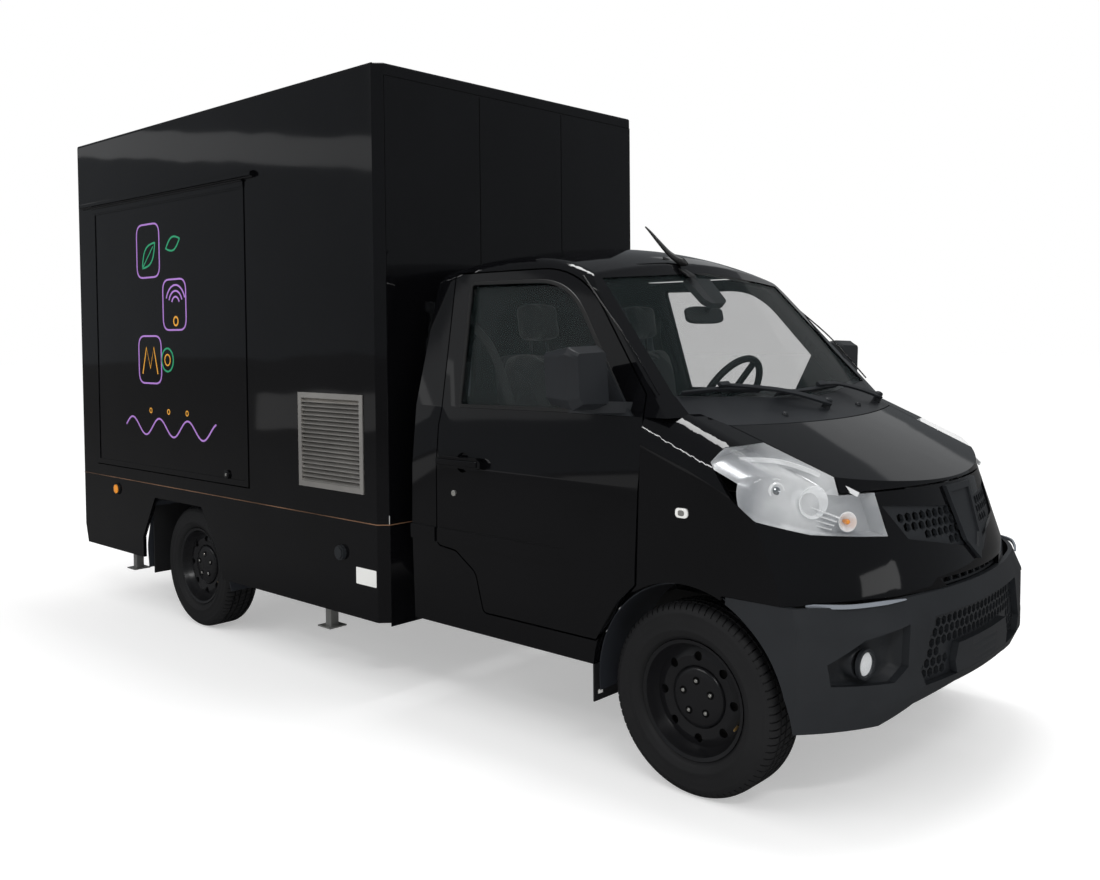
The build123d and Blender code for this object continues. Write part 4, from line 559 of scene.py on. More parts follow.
def copied(node, keep, inward=0.0):
    """A copy of a node's merged mesh: the faces that pass a test, moved in along their normals."""
    form = bmesh.new()
    form.from_mesh(NODES[node].data)
    bmesh.ops.remove_doubles(form, verts=form.verts, dist=0.00002)
    form.normal_update()
    mesh = bpy.data.meshes.new(node + " part")
    form.to_mesh(mesh)
    wanted = keep(read(mesh.polygons, "center"), read(mesh.polygons, "normal"))
    form.faces.ensure_lookup_table()
    bmesh.ops.delete(form, geom=[form.faces[i] for i in np.flatnonzero(~wanted)], context="FACES")
    form.to_mesh(mesh)
    form.free()
    if inward:
        outward = read(mesh.vertex_normals, "vector")
        mesh.vertices.foreach_set("co", (read(mesh.vertices, "co") - outward * inward * 0.001).ravel())
        mesh.update()
    return mesh


LAMP_LOW = 0.78            # headlamps lie above this height, fog lamps below it, in metres
SKIN_TURN = 0.02           # the least that a face of the headlamp's outer skin points to its own side


def lens_faces(centres, normals):
    """The outer skin of the headlamps."""
    return (centres[:, 2] > LAMP_LOW) & (normals[:, 1] * np.sign(centres[:, 1]) > SKIN_TURN)


def bowl_faces(centres, normals):
    """The inside of the headlamps."""
    return (centres[:, 2] > LAMP_LOW) & (normals[:, 1] * np.sign(centres[:, 1]) <= SKIN_TURN)


def fog_faces(centres, normals):
    """The whole of the fog lamps."""
    return centres[:, 2] < LAMP_LOW


def reflector(centre, axis, radius, depth):
    """A parabolic bowl with a rolled rim: the radius grows with the root of the depth."""
    steps = np.linspace(0, 1, 12)
    inner = np.stack([depth * steps ** 2 - depth, radius * steps], axis=-1)
    outer = np.stack([inner[::-1, 0] - 2, inner[::-1, 1] + 2], axis=-1)
    outer[-1, 1] = 0
    return turned(np.concatenate([inner, outer]), centre, axis, 40)


# Bowls of the projector, the main beam and the turn signal: centre, axis, radius, depth
REFLECTORS = (
    ((262, 690, 1000), (1, 0.6, 0.05), 38, 30),
    ((352, 618, 966), (1, 0.55, 0.0), 50, 40),
    ((428, 545, 905), (1, 0.62, 0.05), 30, 26),
)
# Profiles of (along, radius) for what stands in them, and for the fog lamps
PROJECTOR_RING = ((-30, 0), (-30, 27), (4, 29), (8, 26), (8, 22), (-6, 22), (-6, 0))
PROJECTOR_LENS = ((-6, 0), (-5.5, 21.5), (2, 19), (8, 12), (10.5, 5), (11, 0))
TURN_BULB = ((-22, 0), (-22, 7), (-4, 9), (2, 6.5), (4, 0))
FOG_GLASS = ((9, 0), (9, 36), (11, 37.5), (14, 36), (19, 24), (21, 0))
FOG_RING = ((4, 37.2), (16, 37.2), (18, 40), (16, 46.5), (4, 46.5), (4, 37.2))
DAY_STRIP = ((392, 744, 676), (445, 711, 677), (500, 660, 677), (548, 560, 676), (580, 470, 676))


class TRUCK_OT_lamps(bpy.types.Operator):
    """Headlamps with lens, bowls, projector and turn bulb, strips, fog lamps and side repeaters"""
    bl_idname = "truck.lamps"
    bl_label = "Lamps"

    def execute(self, context):
        lens = dress("headlamp_lenses", copied("front_lamps", lens_faces), "chassis", "lamp_glass", thick=2.5)
        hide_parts("front_lamps")
        # The inside of the headlamps wears a bright colour that paints the reflection of the room
        dress("headlamp_bowls", copied("front_lamps", bowl_faces, inward=1.5), "chassis", "bowl_and_painted_reflection", smooth=20)
        dress("fog_cups", copied("front_lamps", fog_faces), "chassis", "dark_plastic")
        for name, side in SIDES:
            chrome_and_painted_reflection, dark, glow = [], [], []
            for centre, axis, radius, depth in REFLECTORS:
                chrome_and_painted_reflection.append(reflector(mirrored(centre, side), mirrored(axis, side), radius, depth))
            spot, axis = mirrored(REFLECTORS[0][:2], side)
            chrome_and_painted_reflection.append(turned(PROJECTOR_RING, spot, axis, 36))
            dark.append(turned(PROJECTOR_LENS, spot, axis, 36))
            spot, axis = mirrored(REFLECTORS[2][:2], side)
            glow.append(turned(TURN_BULB, spot, axis, 20))
            for lift in np.linspace(0, 1, 4):
                start = mirrored((235 + 24 * lift, 660 - 20 * lift, 930 + 60 * lift), side)
                end = mirrored((395 + 18 * lift, 585 - 14 * lift, 884 + 36 * lift), side)
                chrome_and_painted_reflection.append(bar(curve((start, (start + end) / 2 - (14, 0, 2), end), 9), (0, 0, 1), 3, 16))
            brow = mirrored(((130, 690, 1090), (230, 610, 1082), (340, 560, 1044), (440, 500, 985)), side)
            chrome_and_painted_reflection.append(bar(curve(brow, 24), (0.4, 0, 1), 14, 5))
            # The reflectors, ring, louvres and brow wear chrome whose near-white colour paints the room's
            # reflection
            piece(f"lamp_chrome_and_painted_reflection_{name}", chrome_and_painted_reflection, "chassis", "chrome_and_painted_reflection", smooth=40)
            piece(f"lamp_projector_{name}", dark, "chassis", "mirror", smooth=60)
            piece(f"lamp_bulb_{name}", glow, "chassis", "amber", smooth=60)

            fog = np.array((512, 618 * side, 500))
            out = np.array((1, 0.12 * side, 0))
            # The fog lamp's bowl wears chrome whose near-white colour paints the room's reflection
            bowl_and_painted_reflection = reflector(fog + (8, 0, 0), out, 35, 18)
            piece(f"fog_bowl_{name}", [bowl_and_painted_reflection], "chassis", "chrome_and_painted_reflection", smooth=50)
            piece(f"fog_glass_{name}", [turned(FOG_GLASS, fog, out, 48)], "chassis", "lamp_glass", smooth=60)
            piece(f"fog_ring_{name}", [turned(FOG_RING, fog, out, 48)], "chassis", "dark_plastic", smooth=50)

            strip = curve(mirrored(DAY_STRIP, side), 30)
            width = np.interp(np.linspace(0, 1, 30), (0, 0.1, 0.8, 1), (5, 13, 12, 4))
            piece(f"day_strip_{name}", [bar(strip, (0, 0, 1), width, 8)], "chassis", "pillar_trim", bevel=1.5)

            oval = rounded(((-36, 903), (12, 903), (12, 935), (-36, 935)), 15)
            piece(f"repeater_ring_{name}", [plate(on_side(oval, side, -3), (0, side * 8, 0))], "chassis",
                  "white_lens", bevel=2)
            core = rounded(((-24, 910), (0, 910), (0, 928), (-24, 928)), 8)
            piece(f"repeater_core_{name}", [plate(on_side(core, side, -1), (0, side * 7.5, 0))], "chassis",
                  "bolt_steel", bevel=1)
        return {"FINISHED"}


# Cab fittings

WINDOW = ((-1076, 1215), (-240, 1222), (-612, 1690), (-1134, 1697))
WINDOW_REACH = (15, 12, 157, 25)
GLASS_NORMAL = np.array((0.72, 0, 0.69))
COWL_NORMAL = (0.39, 0, 0.92)


def rubber_frame(outline, side, inner, outer, height):
    """A band round an outline on the cab's side, from inner to outer, raised in its middle."""
    rings = ((-inner, -1.0), (1 - inner, height), (outer - 2, height), (outer, -1.0))
    return sheet(np.stack([on_side(grown(outline, by), side, lift) for by, lift in rings]), wrap_u=True,
                 wrap_v=True)


class TRUCK_OT_cab(bpy.types.Operator):
    """Window rubbers, pillar beads, wipers, washer nozzles, aerial, mirrors' glass, locks and inner mirror"""
    bl_idname = "truck.cab"
    bl_label = "Cab fittings"

    def execute(self, context):
        window = rounded(WINDOW, WINDOW_REACH, 16)
        for name, side in SIDES:
            piece(f"window_rubber_{name}", [rubber_frame(window, side, 10, 5, 3.5)], f"door_{name}", "rubber")
            edge = ((-546, 650, 1700), (-442, 677, 1601), (-288, 716, 1460), (-140, 745, 1290))
            bead = curve(mirrored(edge, side), 40)
            piece(f"pillar_bead_{name}", [tube(bead, 3.2, 8)], "chassis", "body_black", smooth=80)
            lock = turned(((-4, 0), (-4, 12), (4, 12), (5.5, 10), (5.5, 4), (3, 3.4), (3, 0)),
                          (-1083, side * 802, 881), (0, side, 0), 28)
            piece(f"door_lock_{name}", [lock], f"door_{name}", "bolt_steel")
            face = rounded(((829, 1275), (838, 1420), (962, 1416), (975, 1395), (966, 1290), (945, 1268)), 14)
            glass = plate(facing(face * (side, 1), -434.5), (-3, 0, 0))
            piece(f"mirror_glass_{name}", [glass], f"door_{name}", "mirror", bevel=1)
            pull = curve(mirrored(((-1150, 829, 1003), (-1040, 833, 1004), (-930, 829, 1004)), side), 16)
            piece(f"door_pull_{name}", [bar(pull, (0, 0, 1), 22, 7)], f"door_{name}", "body_black", bevel=3)

        wiper = []
        share = np.linspace(0, 1, 24)
        for blade, arm in (
            (((-122, -660, 1282), (-89, -476, 1288), (-50, -278, 1277)),
             ((44, 40, 1214), (-10, -170, 1262), (-60, -330, 1284), (-92, -462, 1296))),
            (((-22, -221, 1262), (-17, -6, 1266), (-38, 270, 1272)),
             ((4, 545, 1212), (-24, 400, 1248), (-38, 260, 1272), (-30, 110, 1276))),
        ):
            rail = curve(np.array(blade) + GLASS_NORMAL * 14, 24)
            wiper.append(bar(rail, GLASS_NORMAL, 13, np.interp(share, (0, 0.5, 1), (6, 13, 6))))
            lip = curve(np.array(blade) + GLASS_NORMAL * 5, 24)
            wiper.append(bar(lip, GLASS_NORMAL, 12, 3))
            limb = curve(np.array(arm) + GLASS_NORMAL * 22, 24)
            wiper.append(bar(limb, GLASS_NORMAL, 10, np.interp(share, (0, 0.25, 1), (30, 18, 12))))
            wiper.append(turned(((-14, 0), (-14, 17), (30, 15), (34, 9), (34, 0)), arm[0], COWL_NORMAL, 24))
            hold = np.array(arm[-1]) + GLASS_NORMAL * 18
            wiper.append(plate(rounded(np.array(((-9, -30), (9, -30), (9, 30), (-9, 30))), 5)
                               @ np.array(((-0.69, 0, 0.72), (0, 1, 0))) + hold, GLASS_NORMAL * 14))
        piece("wipers", wiper, "chassis", "dark_plastic", bevel=1.5)

        jets = [turned(((-4, 0), (-4, 13), (2, 13), (9, 9), (12, 5), (12, 0)), spot, COWL_NORMAL, 20)
                for spot in ((50, -268, 1201), (39, 307, 1203))]
        piece("washer_jets", jets, "chassis", "dark_plastic", smooth=40)

        whip = curve(((-452, -139, 1757), (-492, -139, 1775), (-540, -139, 1806), (-588, -139, 1852),
                      (-628, -139, 1893), (-655, -139, 1918)), 40)
        radius = np.interp(np.linspace(0, 1, 40), (0, 0.12, 0.4, 1), (6, 17, 10, 3))
        foot = rounded(((-420, -166), (-420, -112), (-560, -122), (-560, -156)), 18)
        pad = np.stack([foot[:, 0], foot[:, 1], np.interp(foot[:, 0], (-560, -420), (1783, 1702))], axis=-1)
        piece("aerial", [tube(whip, radius, 14), plate(pad, (-6, 0, 10))], "chassis", "rubber", smooth=50)

        mount = np.array(((-150, 1706), (20, 1706), (10, 1618), (-20, 1604), (-110, 1604), (-140, 1618)))
        flat = rounded(mount, 10)
        x = -349 - (flat[:, 1] - 1606) * 0.958 - 9
        cover = plate(np.stack([x, flat[:, 0], flat[:, 1]], axis=-1), -GLASS_NORMAL * 26)
        stalk = tube(((-380, -60, 1612), (-402, -60, 1592), (-415, -60, 1570)), 9, 12)
        glass = pillow((14, 125, 34), 0.2, (-428, -60, 1560), 0.5)
        piece("inner_mirror", [cover, stalk, glass], "chassis", "inner_plastic", bevel=2)
        return {"FINISHED"}


# Seats and dashboard

def settled(made):
    """Blow a pad up as cloth from a fine remesh, keep each point near its start, and smooth the pad once."""
    bpy.context.view_layer.objects.active = made
    skin = made.modifiers.new("voxels", "REMESH")
    skin.mode = "VOXEL"
    skin.voxel_size = PAD_VOXEL
    shape = bpy.data.meshes.new_from_object(made.evaluated_get(bpy.context.evaluated_depsgraph_get()))
    made.modifiers.clear()
    made.data = shape
    start = read(shape.vertices, "co")
    sim = made.modifiers.new("cloth", "CLOTH")
    sim.settings.use_pressure = True
    sim.settings.uniform_pressure_force = PAD_PRESSURE
    sim.settings.effector_weights.gravity = 0
    sim.settings.quality = 4
    scene = bpy.context.scene
    for step in range(1, PAD_FRAMES + 1):
        scene.frame_set(step)
    graph = bpy.context.evaluated_depsgraph_get()
    blown = bpy.data.meshes.new_from_object(made.evaluated_get(graph))
    made.modifiers.clear()
    move = read(blown.vertices, "co") - start
    far = np.linalg.norm(move, axis=1, keepdims=True)
    move *= np.minimum(1, PAD_REACH / np.maximum(far, 1e-9))
    blown.vertices.foreach_set("co", (start + move).ravel())
    made.data = blown
    scene.frame_set(1)
    made.data.polygons.foreach_set("use_smooth", np.ones(len(made.data.polygons), bool))
    soft = made.modifiers.new("soft", "SUBSURF")
    soft.levels = soft.render_levels = 1


SEAT_Y = 340
PAD_VOXEL = 0.009          # metres: the grid that the pads are remeshed on
PAD_PRESSURE = 4
PAD_FRAMES = 15
PAD_REACH = 0.022          # metres: the furthest that a point of a pad may move


class TRUCK_OT_seats(bpy.types.Operator):
    """Two padded seats with their belts, and what stands on the dashboard"""
    bl_idname = "truck.seats"
    bl_label = "Seats"

    def execute(self, context):
        for name, side in SIDES:
            y = side * SEAT_Y
            pads = (
                ("cushion", (225, 212, 62), 0.06, (-760, y, 812)),
                ("back", (52, 200, 275), 0.16, (-1015, y, 1150)),
                ("headrest", (34, 100, 72), 0.16, (-1062, y, 1540)),
            )
            for label, half, lean, centre in pads:
                pad = piece(f"seat_{label}_{name}", [pillow(half, lean, centre)], "chassis", "seat_cloth")
                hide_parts("seats")
                settled(pad)
            floor = rounded(((-1000, y - 215), (-520, y - 215), (-520, y + 215), (-1000, y + 215)), 30)
            base = plate(np.insert(floor, 2, 588, axis=1), (0, 0, 150))
            posts = [tube(((-1052, y + d, 1400), (-1064, y + d, 1500)), 6, 12) for d in (-50, 50)]
            shell = pillow((30, 190, 280), 0.16, (-1075, y, 1130), 0.25)
            piece(f"seat_frame_{name}", [base, *posts, shell], "chassis", "inner_plastic", bevel=4)
            belt = curve(((-1180, side * 640, 1560), (-1120, side * 560, 1440), (-1040, side * 545, 1250),
                          (-930, side * 540, 940), (-1050, side * 590, 640)), 40)
            piece(f"seat_belt_{name}", [bar(belt, (1, 0, 0.2), 46, 2)], "chassis", "webbing")
            trim = curve(mirrored(((-1215, 640, 1240), (-1222, 618, 1420), (-1228, 590, 1600)), side), 12)
            piece(f"pillar_trim_{name}", [bar(trim, (1, 0, 0), 90, 30)], "chassis", "pillar_trim", bevel=8)
        hood = pillow((120, 175, 60), 0.1, (-395, SEAT_Y, 1185), 0.6)
        vents = [plate(rounded(((y - 60, 1075), (y + 60, 1075), (y + 60, 1120), (y - 60, 1120)), 8)
                       @ np.array(((0, 1, 0), (0.3, 0, 1))) + (-845, 0, 0), (-8, 0, 3))
                 for y in (-520, -150, 20, 600)]
        piece("dash_pod", [hood, *vents], "chassis", "inner_plastic", bevel=2)
        return {"FINISHED"}


# Box fittings

PANEL_Y = -(BOX_HALF + 0.6)


def drawn(points, width=9, wrap=False):
    """A flat strip of film on the hatch along points of (x, z)."""
    return bar(np.insert(np.asarray(points, float), 1, PANEL_Y, axis=1), (0, 1, 0), 1.2, width, wrap)


def ring_line(x, z, radius, start=0.0, end=360.0, count=72):
    """An arc of a circle about (x, z), from one angle to another in degrees."""
    turn = np.radians(np.linspace(start, end, count))
    return np.stack([x + radius * np.cos(turn), z + radius * np.sin(turn)], axis=-1)


def leaf_line(x, z, length, width, lean):
    """A leaf: two sines of opposite sign over its length, leaned about its stem."""
    t = np.concatenate([np.linspace(0, 1, 30), np.linspace(1, 0, 30)[1:-1]])
    sign = np.concatenate([np.ones(30), -np.ones(28)])
    leaf = np.stack([t * length, sign * width * np.sin(pi * t)], axis=-1)
    return (x, z) + leaf @ np.array(((cos(lean), sin(lean)), (-sin(lean), cos(lean))))


class TRUCK_OT_box(bpy.types.Operator):
    """Line drawing on the hatch, locks, edge profiles, trim line, marker lamps, blank labels, and painted
    shade in the front wall's seams
    """
    bl_idname = "truck.box"
    bl_label = "Box fittings"

    def execute(self, context):
        x0, x1 = -3540, -3030
        mid = (x0 + x1) / 2
        lilac = [
            drawn(rounded(((x0, 1810), (mid - 10, 1810), (mid - 10, 2090), (x0, 2090)), 60), wrap=True),
            drawn(rounded(((mid + 20, 1530), (x1, 1530), (x1, 1790), (mid + 20, 1790)), 60), wrap=True),
            drawn(rounded(((x0, 1250), (mid - 10, 1250), (mid - 10, 1500), (x0, 1500)), 60), wrap=True),
        ]
        lilac += [drawn(ring_line(mid + 150, 1660, r, 20, 160, 40)) for r in (40, 70, 100)]
        wave = np.linspace(-3700, -2760, 160)
        lilac.append(drawn(np.stack([wave, 1020 + 45 * np.sin((wave + 3700) / 47)], axis=-1)))
        green = [drawn(leaf_line(x0 + 60, 1860, 190, 46, 0.75), wrap=True),
                 drawn(((x0 + 60, 1860), (x0 + 125, 1921), (x0 + 178, 1970)), 6),
                 drawn(leaf_line(mid + 60, 1950, 150, 34, 0.3), wrap=True),
                 drawn(ring_line(-3230, 1375, 60)[:-1], wrap=True)]
        peaks = ((40, 1300), (85, 1440), (125, 1330), (165, 1440), (205, 1300))
        orange = [drawn(np.array(peaks) + (x0, 0)),
                  drawn(ring_line(mid + 150, 1575, 22)[:-1], wrap=True),
                  drawn(ring_line(-3230, 1375, 28)[:-1], 7, wrap=True)]
        orange += [drawn(ring_line(x, 1105, 12, count=24)[:-1], 6, wrap=True) for x in (-3420, -3230, -3040)]
        for name, lines in (("lilac", lilac), ("green", green), ("orange", orange)):
            piece(f"hatch_drawing_{name}", lines, "hatch", name)
        lock = turned(((-2, 0), (-2, 21), (5, 21), (7, 18), (7, 0)), (-2661, -844, 826), (0, -1, 0), 36)
        piece("hatch_lock", [lock], "hatch", "body_black")
        key = turned(((0, 0), (0, 7), (9, 7), (10, 5), (10, 0)), (-2661, -844, 826), (0, -1, 0), 24)
        piece("hatch_key", [key], "hatch", "bolt_steel")

        edges = []
        inset = 5.4
        top = BOX_TOP - inset
        for y in (-BOX_HALF + inset, BOX_HALF - inset):
            edges.append(tube(((BOX_REAR + inset, y, 714), (BOX_REAR + inset, y, top)), 6, 16))
            edges.append(tube(((BOX_REAR + inset, y, top), (BOX_FRONT - CORNER_CUT, y, top)), 6, 16))
        corners = [(BOX_REAR + inset, y, top) for y in (-BOX_HALF + inset, BOX_HALF - inset)]
        edges.append(tube(corners, 6, 16))
        piece("edge_profiles", edges, "chassis", "box_black", smooth=60)

        trim = []
        for y in (-BOX_HALF, BOX_HALF):
            side = np.sign(y)
            trim.append(bar(((BOX_REAR, y + side * 0.5, 712), (BOX_FRONT - 37, y + side * 0.5, 712),
                             (BOX_FRONT + 3.5, side * (BOX_HALF - 37), 712)), (0, 0, 1), 4, 3))
        trim.append(bar(((BOX_FRONT + 3.4, -803, 712), (BOX_FRONT + 3.4, -625, 712)), (0, 0, 1), 4, 2))
        piece("trim_line", trim, "chassis", "copper")
        face = BOX_FRONT + 3.2
        # Thin dark strips on the front wall: painted shade of the grooves between its panels
        seam_shades = [bar(((face, y, 740), (face, y, 2540)), (0, 1, 0), 3, 1.2) for y in (-270, 270)]
        seam_shades.append(bar(((face, -800, 2549), (face, 800, 2549)), (0, 0, 1), 2.5, 1.2))
        piece("front_seam_shades", seam_shades, "chassis", "painted_shade")

        for name, side in SIDES:
            round_wheel = ring_line(FRONT_ARCH_X, WHEEL_R, LINING_R, 15, 188, 60)
            lining = bar(np.insert(round_wheel, 1, side * 650, axis=1), (0, 1, 0), 236, 4)
            piece(f"arch_lining_front_{name}", [lining], "chassis", "lining", bevel=1)
            below_arch = curve([(x, side * 660, z - 6) for x, z in REAR_ARCH], 60)
            lining = bar(below_arch, (0, 1, 0), 300, 4)
            piece(f"arch_lining_rear_{name}", [lining], "chassis", "lining", bevel=1)
            spot, out = (-3826, side * BOX_HALF, 650), (0, side, 0)
            marker = turned(((6, 0), (6, 26), (14, 24), (18, 14), (19, 0)), spot, out, 36)
            piece(f"marker_lens_{name}", [marker], "chassis", "amber", smooth=50)
            collar = turned(((0.5, 26), (10, 26), (10, 31), (0.5, 33), (0.5, 26)), spot, out, 36)
            piece(f"marker_collar_{name}", [collar], "chassis", "rubber", smooth=50)
            label = rounded(((side * 776, 248), (side * 752, 248), (side * 752, 262), (side * 776, 262)), 2)
            piece(f"flap_label_{name}", [plate(facing(label, -385.6), (1, 0, 0))], "chassis", "paper")
        label = rounded(((-1656, 450), (-1521, 450), (-1521, 520), (-1656, 520)), 4)
        outline = np.insert(label, 1, -BOX_HALF, axis=1)
        piece("skirt_label", [plate(outline, (0, -0.8, 0))], "chassis", "paper")
        return {"FINISHED"}


# Rear fittings

class TRUCK_OT_rear(bpy.types.Operator):
    """Lenses of the rear lamps, and a blank plate with its lamps"""
    bl_idname = "truck.rear"
    bl_label = "Rear fittings"

    def execute(self, context):
        lenses = {"amber": [], "white_lens": [], "lamp_red": []}
        for name, side in SIDES:
            y0, y1 = side * 560, side * 780
            spans = np.linspace(y0, y1, 5)
            for finish, start, end in (("white_lens", spans[0], spans[1]), ("lamp_red", spans[1], spans[3]),
                                       ("amber", spans[3], spans[4])):
                start, end = start + side * 2, end - side * 2
                flat = rounded(((start, 444), (end, 444), (end, 516), (start, 516)), 7)
                lenses[finish].append(plate(facing(flat, -4243), (-9, 0, 0)))
        for finish, shapes in lenses.items():
            piece(f"rear_lens_{finish}", shapes, "chassis", finish, bevel=2.5)
        flat = rounded(((-260, 425), (260, 425), (260, 535), (-260, 535)), 6)
        piece("blank_plate", [plate(facing(flat, -4225.5), (-3, 0, 0))], "chassis", "paper", bevel=1)
        lamps = [pillow((14, 32, 10), 0, (-4232, y, 552), 0.5) for y in (-150, 150)]
        piece("plate_lamps", lamps, "chassis", "dark_plastic")
        return {"FINISHED"}


# Stage

def pale(name, shade, lift, mirrored):
    """A pale surface: matt, lifted towards white for the camera, and darker where gloss mirrors it."""
    mat = bpy.data.materials.new(name)
    mat.use_nodes = True
    tree = mat.node_tree
    shader = tree.nodes["Principled BSDF"]
    shader.inputs["Base Color"].default_value = (shade, shade, shade, 1)
    shader.inputs["Roughness"].default_value = 0.9
    shader.inputs["Specular IOR Level"].default_value = 0.0
    shader.inputs["Emission Color"].default_value = (1, 1, 1, 1)
    shader.inputs["Emission Strength"].default_value = lift
    dim = tree.nodes.new("ShaderNodeBsdfDiffuse")
    dim.inputs["Color"].default_value = (mirrored, mirrored, mirrored, 1)
    path = tree.nodes.new("ShaderNodeLightPath")
    mix = tree.nodes.new("ShaderNodeMixShader")
    tree.links.new(path.outputs["Is Glossy Ray"], mix.inputs["Fac"])
    tree.links.new(shader.outputs[0], mix.inputs[1])
    tree.links.new(dim.outputs[0], mix.inputs[2])
    tree.links.new(mix.outputs[0], tree.nodes["Material Output"].inputs["Surface"])
    return mat


class TRUCK_OT_stage(bpy.types.Operator):
    """Add the floor, the studio light and the photograph's camera"""
    bl_idname = "truck.stage"
    bl_label = "Studio"

    def execute(self, context):
        look = context.scene.truck_studio
        half = look.floor_size / 2
        mesh = bpy.data.meshes.new("floor")
        corners = [(-half, -half, 0), (half, -half, 0), (half, half, 0), (-half, half, 0)]
        mesh.from_pydata(corners, [], [(0, 1, 2, 3)])
        floor = bpy.data.objects.new("floor", mesh)
        context.scene.collection.objects.link(floor)
        mesh.materials.append(pale("pale floor", look.floor_shade, look.floor_lift, look.floor_mirrored))

        world = bpy.data.worlds.new("studio")
        context.scene.world = world
        world.use_nodes = True
        tree = world.node_tree
        new, link = tree.nodes.new, tree.links.new
        room, white, dim = tree.nodes["Background"], new("ShaderNodeBackground"), new("ShaderNodeBackground")
        for sky, color, strength in ((room, (1, 1, 1, 1), look.room), (white, (1, 1, 1, 1), 1.0),
                                     (dim, (0.9, 0.95, 1, 1), look.mirrored_room)):
            sky.inputs["Color"].default_value = color
            sky.inputs["Strength"].default_value = strength
        path = new("ShaderNodeLightPath")
        seen = new("ShaderNodeMath")
        seen.operation = "MAXIMUM"
        link(path.outputs["Is Camera Ray"], seen.inputs[0])
        link(path.outputs["Is Transmission Ray"], seen.inputs[1])
        gloss = new("ShaderNodeMixShader")
        link(path.outputs["Is Glossy Ray"], gloss.inputs["Fac"])
        link(room.outputs[0], gloss.inputs[1])
        link(dim.outputs[0], gloss.inputs[2])
        shown = new("ShaderNodeMixShader")
        link(seen.outputs[0], shown.inputs["Fac"])
        link(gloss.outputs[0], shown.inputs[1])
        link(white.outputs[0], shown.inputs[2])
        link(shown.outputs[0], tree.nodes["World Output"].inputs["Surface"])

        for name, spot, target, size, power in (
            ("key softbox", (6.5, -5.0, 6.5), (0.8, 0, 0.8), (3.0, 0.35), look.key),
            ("side softbox", (-3.0, -8.5, 7.5), (-0.5, 0, 1.0), (5.0, 0.3), look.side),
            ("top softbox", (0.0, 1.0, 8.5), (0, 0, 0), (5.0, 2.0), look.top),
            ("hood card", (-0.5, 8.0, 4.4), (1.5, 0, 1.1), (6.0, 2.2), look.card * 1.6),
            ("door card", (-5.5, -7.0, 3.9), (1.0, -0.8, 1.3), (2.5, 3.5), look.card),
            ("wall card", (-12.0, -7.4, 4.6), (-1.0, -0.8, 2.2), (7.0, 0.5), look.card * 0.7),
            ("low card", (-5.0, -8.5, 0.5), (0.5, -0.8, 0.7), (9.0, 0.5), look.card * 0.6),
            ("nose card", (9.0, 1.5, 1.6), (2.2, 0, 0.8), (2.0, 1.2), look.card * 1.2),
        ):
            light = bpy.data.lights.new(name, "AREA")
            light.shape = "RECTANGLE"
            light.size, light.size_y = size
            light.energy = power
            lamp = bpy.data.objects.new(name, light)
            lamp.location = spot
            lamp.rotation_euler = (Vector(target) - Vector(spot)).to_track_quat("-Z", "Y").to_euler()
            context.scene.collection.objects.link(lamp)

        camera = bpy.data.cameras.new("photo camera")
        camera.sensor_width = 36
        camera.lens = look.lens
        camera.shift_y = look.shift_y
        eye = bpy.data.objects.new("photo camera", camera)
        context.scene.collection.objects.link(eye)
        ahead = Vector((cos(look.pitch) * cos(look.yaw), cos(look.pitch) * sin(look.yaw), -sin(look.pitch)))
        right = ahead.cross(Vector((0, 0, 1))).normalized()
        up = right.cross(ahead)
        rolled_right = cos(look.roll) * right + sin(look.roll) * up
        rolled_up = cos(look.roll) * up - sin(look.roll) * right
        turn = Matrix((rolled_right, rolled_up, -ahead)).transposed()
        eye.matrix_world = Matrix.Translation(look.eye) @ turn.to_4x4()
        context.scene.camera = eye
        context.scene.view_settings.view_transform = "Standard"
        return {"FINISHED"}


class TruckFinish(bpy.types.PropertyGroup):
    paint: bpy.props.FloatVectorProperty(
        name="Paint", description="Colour of the glossy paint and panels", subtype="COLOR", size=3,
        default=(0.0022, 0.0022, 0.0027), min=0, max=1)
    plastic: bpy.props.FloatVectorProperty(
        name="Plastic", description="Colour of the bumper, mirrors and grilles", subtype="COLOR", size=3,
        default=(0.017, 0.019, 0.022), min=0, max=1)


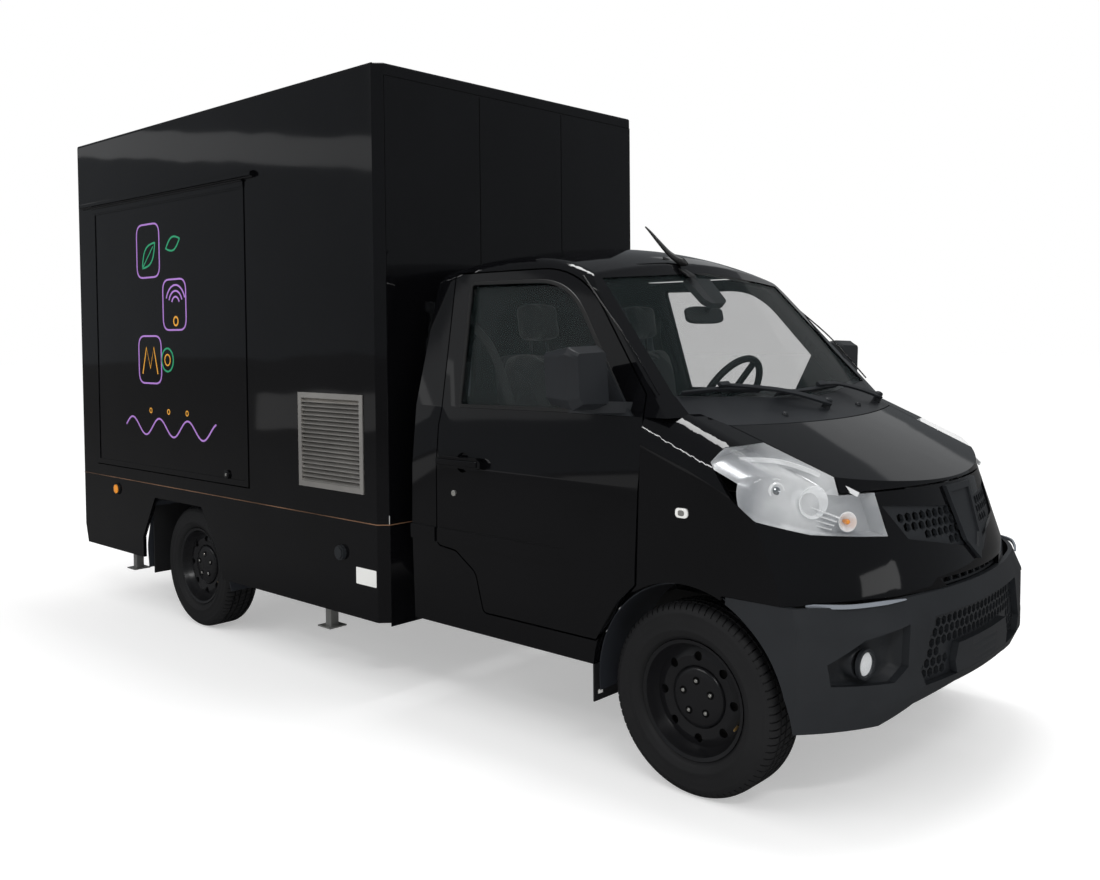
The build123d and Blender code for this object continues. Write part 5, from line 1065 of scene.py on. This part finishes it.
class TruckStudio(bpy.types.PropertyGroup):
    eye: bpy.props.FloatVectorProperty(
        name="Camera place", description="Where the photograph's camera stood", subtype="TRANSLATION",
        unit="LENGTH", size=3, default=(3.7575, -3.548, 1.490))
    yaw: bpy.props.FloatProperty(
        name="Camera yaw", description="Direction the camera looks in, about Z from +X", subtype="ANGLE",
        default=radians(132.53))
    pitch: bpy.props.FloatProperty(
        name="Camera pitch", description="How far the camera looks down", subtype="ANGLE",
        default=radians(1.93))
    roll: bpy.props.FloatProperty(
        name="Camera roll", description="Lean of the camera", subtype="ANGLE", default=radians(-0.52))
    lens: bpy.props.FloatProperty(
        name="Lens", description="Focal length on a 36 mm sensor", subtype="DISTANCE_CAMERA", default=34.66)
    shift_y: bpy.props.FloatProperty(
        name="Shift", description="Vertical shift of the frame, as a share of its width", default=-0.0636)
    floor_size: bpy.props.FloatProperty(
        name="Floor", description="Side of the square floor", unit="LENGTH", default=120.0)
    floor_shade: bpy.props.FloatProperty(
        name="Floor shade", description="Reflectance of the pale floor", default=0.8, min=0, max=1)
    floor_lift: bpy.props.FloatProperty(
        name="Floor lift", description="Light that the floor adds for the camera", default=0.37, min=0, max=1)
    floor_mirrored: bpy.props.FloatProperty(
        name="Mirrored floor", description="Reflectance of the floor where gloss mirrors it",
        default=0.12, min=0)
    room: bpy.props.FloatProperty(
        name="Room light", description="Strength of the even light from all round", default=0.8, min=0)
    mirrored_room: bpy.props.FloatProperty(
        name="Mirrored room", description="Brightness of the room where gloss mirrors it",
        default=0.16, min=0)
    card: bpy.props.FloatProperty(
        name="Cards", description="Power of the dim cards that the gloss mirrors", unit="POWER",
        default=6, min=0)
    key: bpy.props.FloatProperty(
        name="Key light", description="Power of the softbox at the front", unit="POWER", default=110, min=0)
    side: bpy.props.FloatProperty(
        name="Side light", description="Power of the softbox at the side", unit="POWER", default=90, min=0)
    top: bpy.props.FloatProperty(
        name="Top light", description="Power of the softbox overhead", unit="POWER", default=260, min=0)


class TRUCK_PT_panel(bpy.types.Panel):
    """Lists the steps that dress the truck"""
    bl_label = "Food truck"
    bl_idname = "TRUCK_PT_panel"
    bl_space_type = "VIEW_3D"
    bl_region_type = "UI"
    bl_category = "Food truck"

    def draw(self, context):
        for step in OPERATORS:
            self.layout.operator(step.bl_idname)


OPERATORS = (TRUCK_OT_finishes, TRUCK_OT_wheels, TRUCK_OT_lamps, TRUCK_OT_cab, TRUCK_OT_seats, TRUCK_OT_box,
             TRUCK_OT_rear, TRUCK_OT_stage)
GROUPS = (TruckFinish, TruckStudio)


def register():
    for group in GROUPS:
        bpy.utils.register_class(group)
    bpy.types.Scene.truck_finish = bpy.props.PointerProperty(type=TruckFinish)
    bpy.types.Scene.truck_studio = bpy.props.PointerProperty(type=TruckStudio)
    for operator in OPERATORS:
        bpy.utils.register_class(operator)
    bpy.utils.register_class(TRUCK_PT_panel)


def unregister():
    bpy.utils.unregister_class(TRUCK_PT_panel)
    for operator in reversed(OPERATORS):
        bpy.utils.unregister_class(operator)
    del bpy.types.Scene.truck_studio
    del bpy.types.Scene.truck_finish
    for group in reversed(GROUPS):
        bpy.utils.unregister_class(group)


def main():
    register()
    for step in OPERATORS:
        area, name = step.bl_idname.split(".")
        getattr(getattr(bpy.ops, area), name)()


if __name__ == "__main__":
    main()
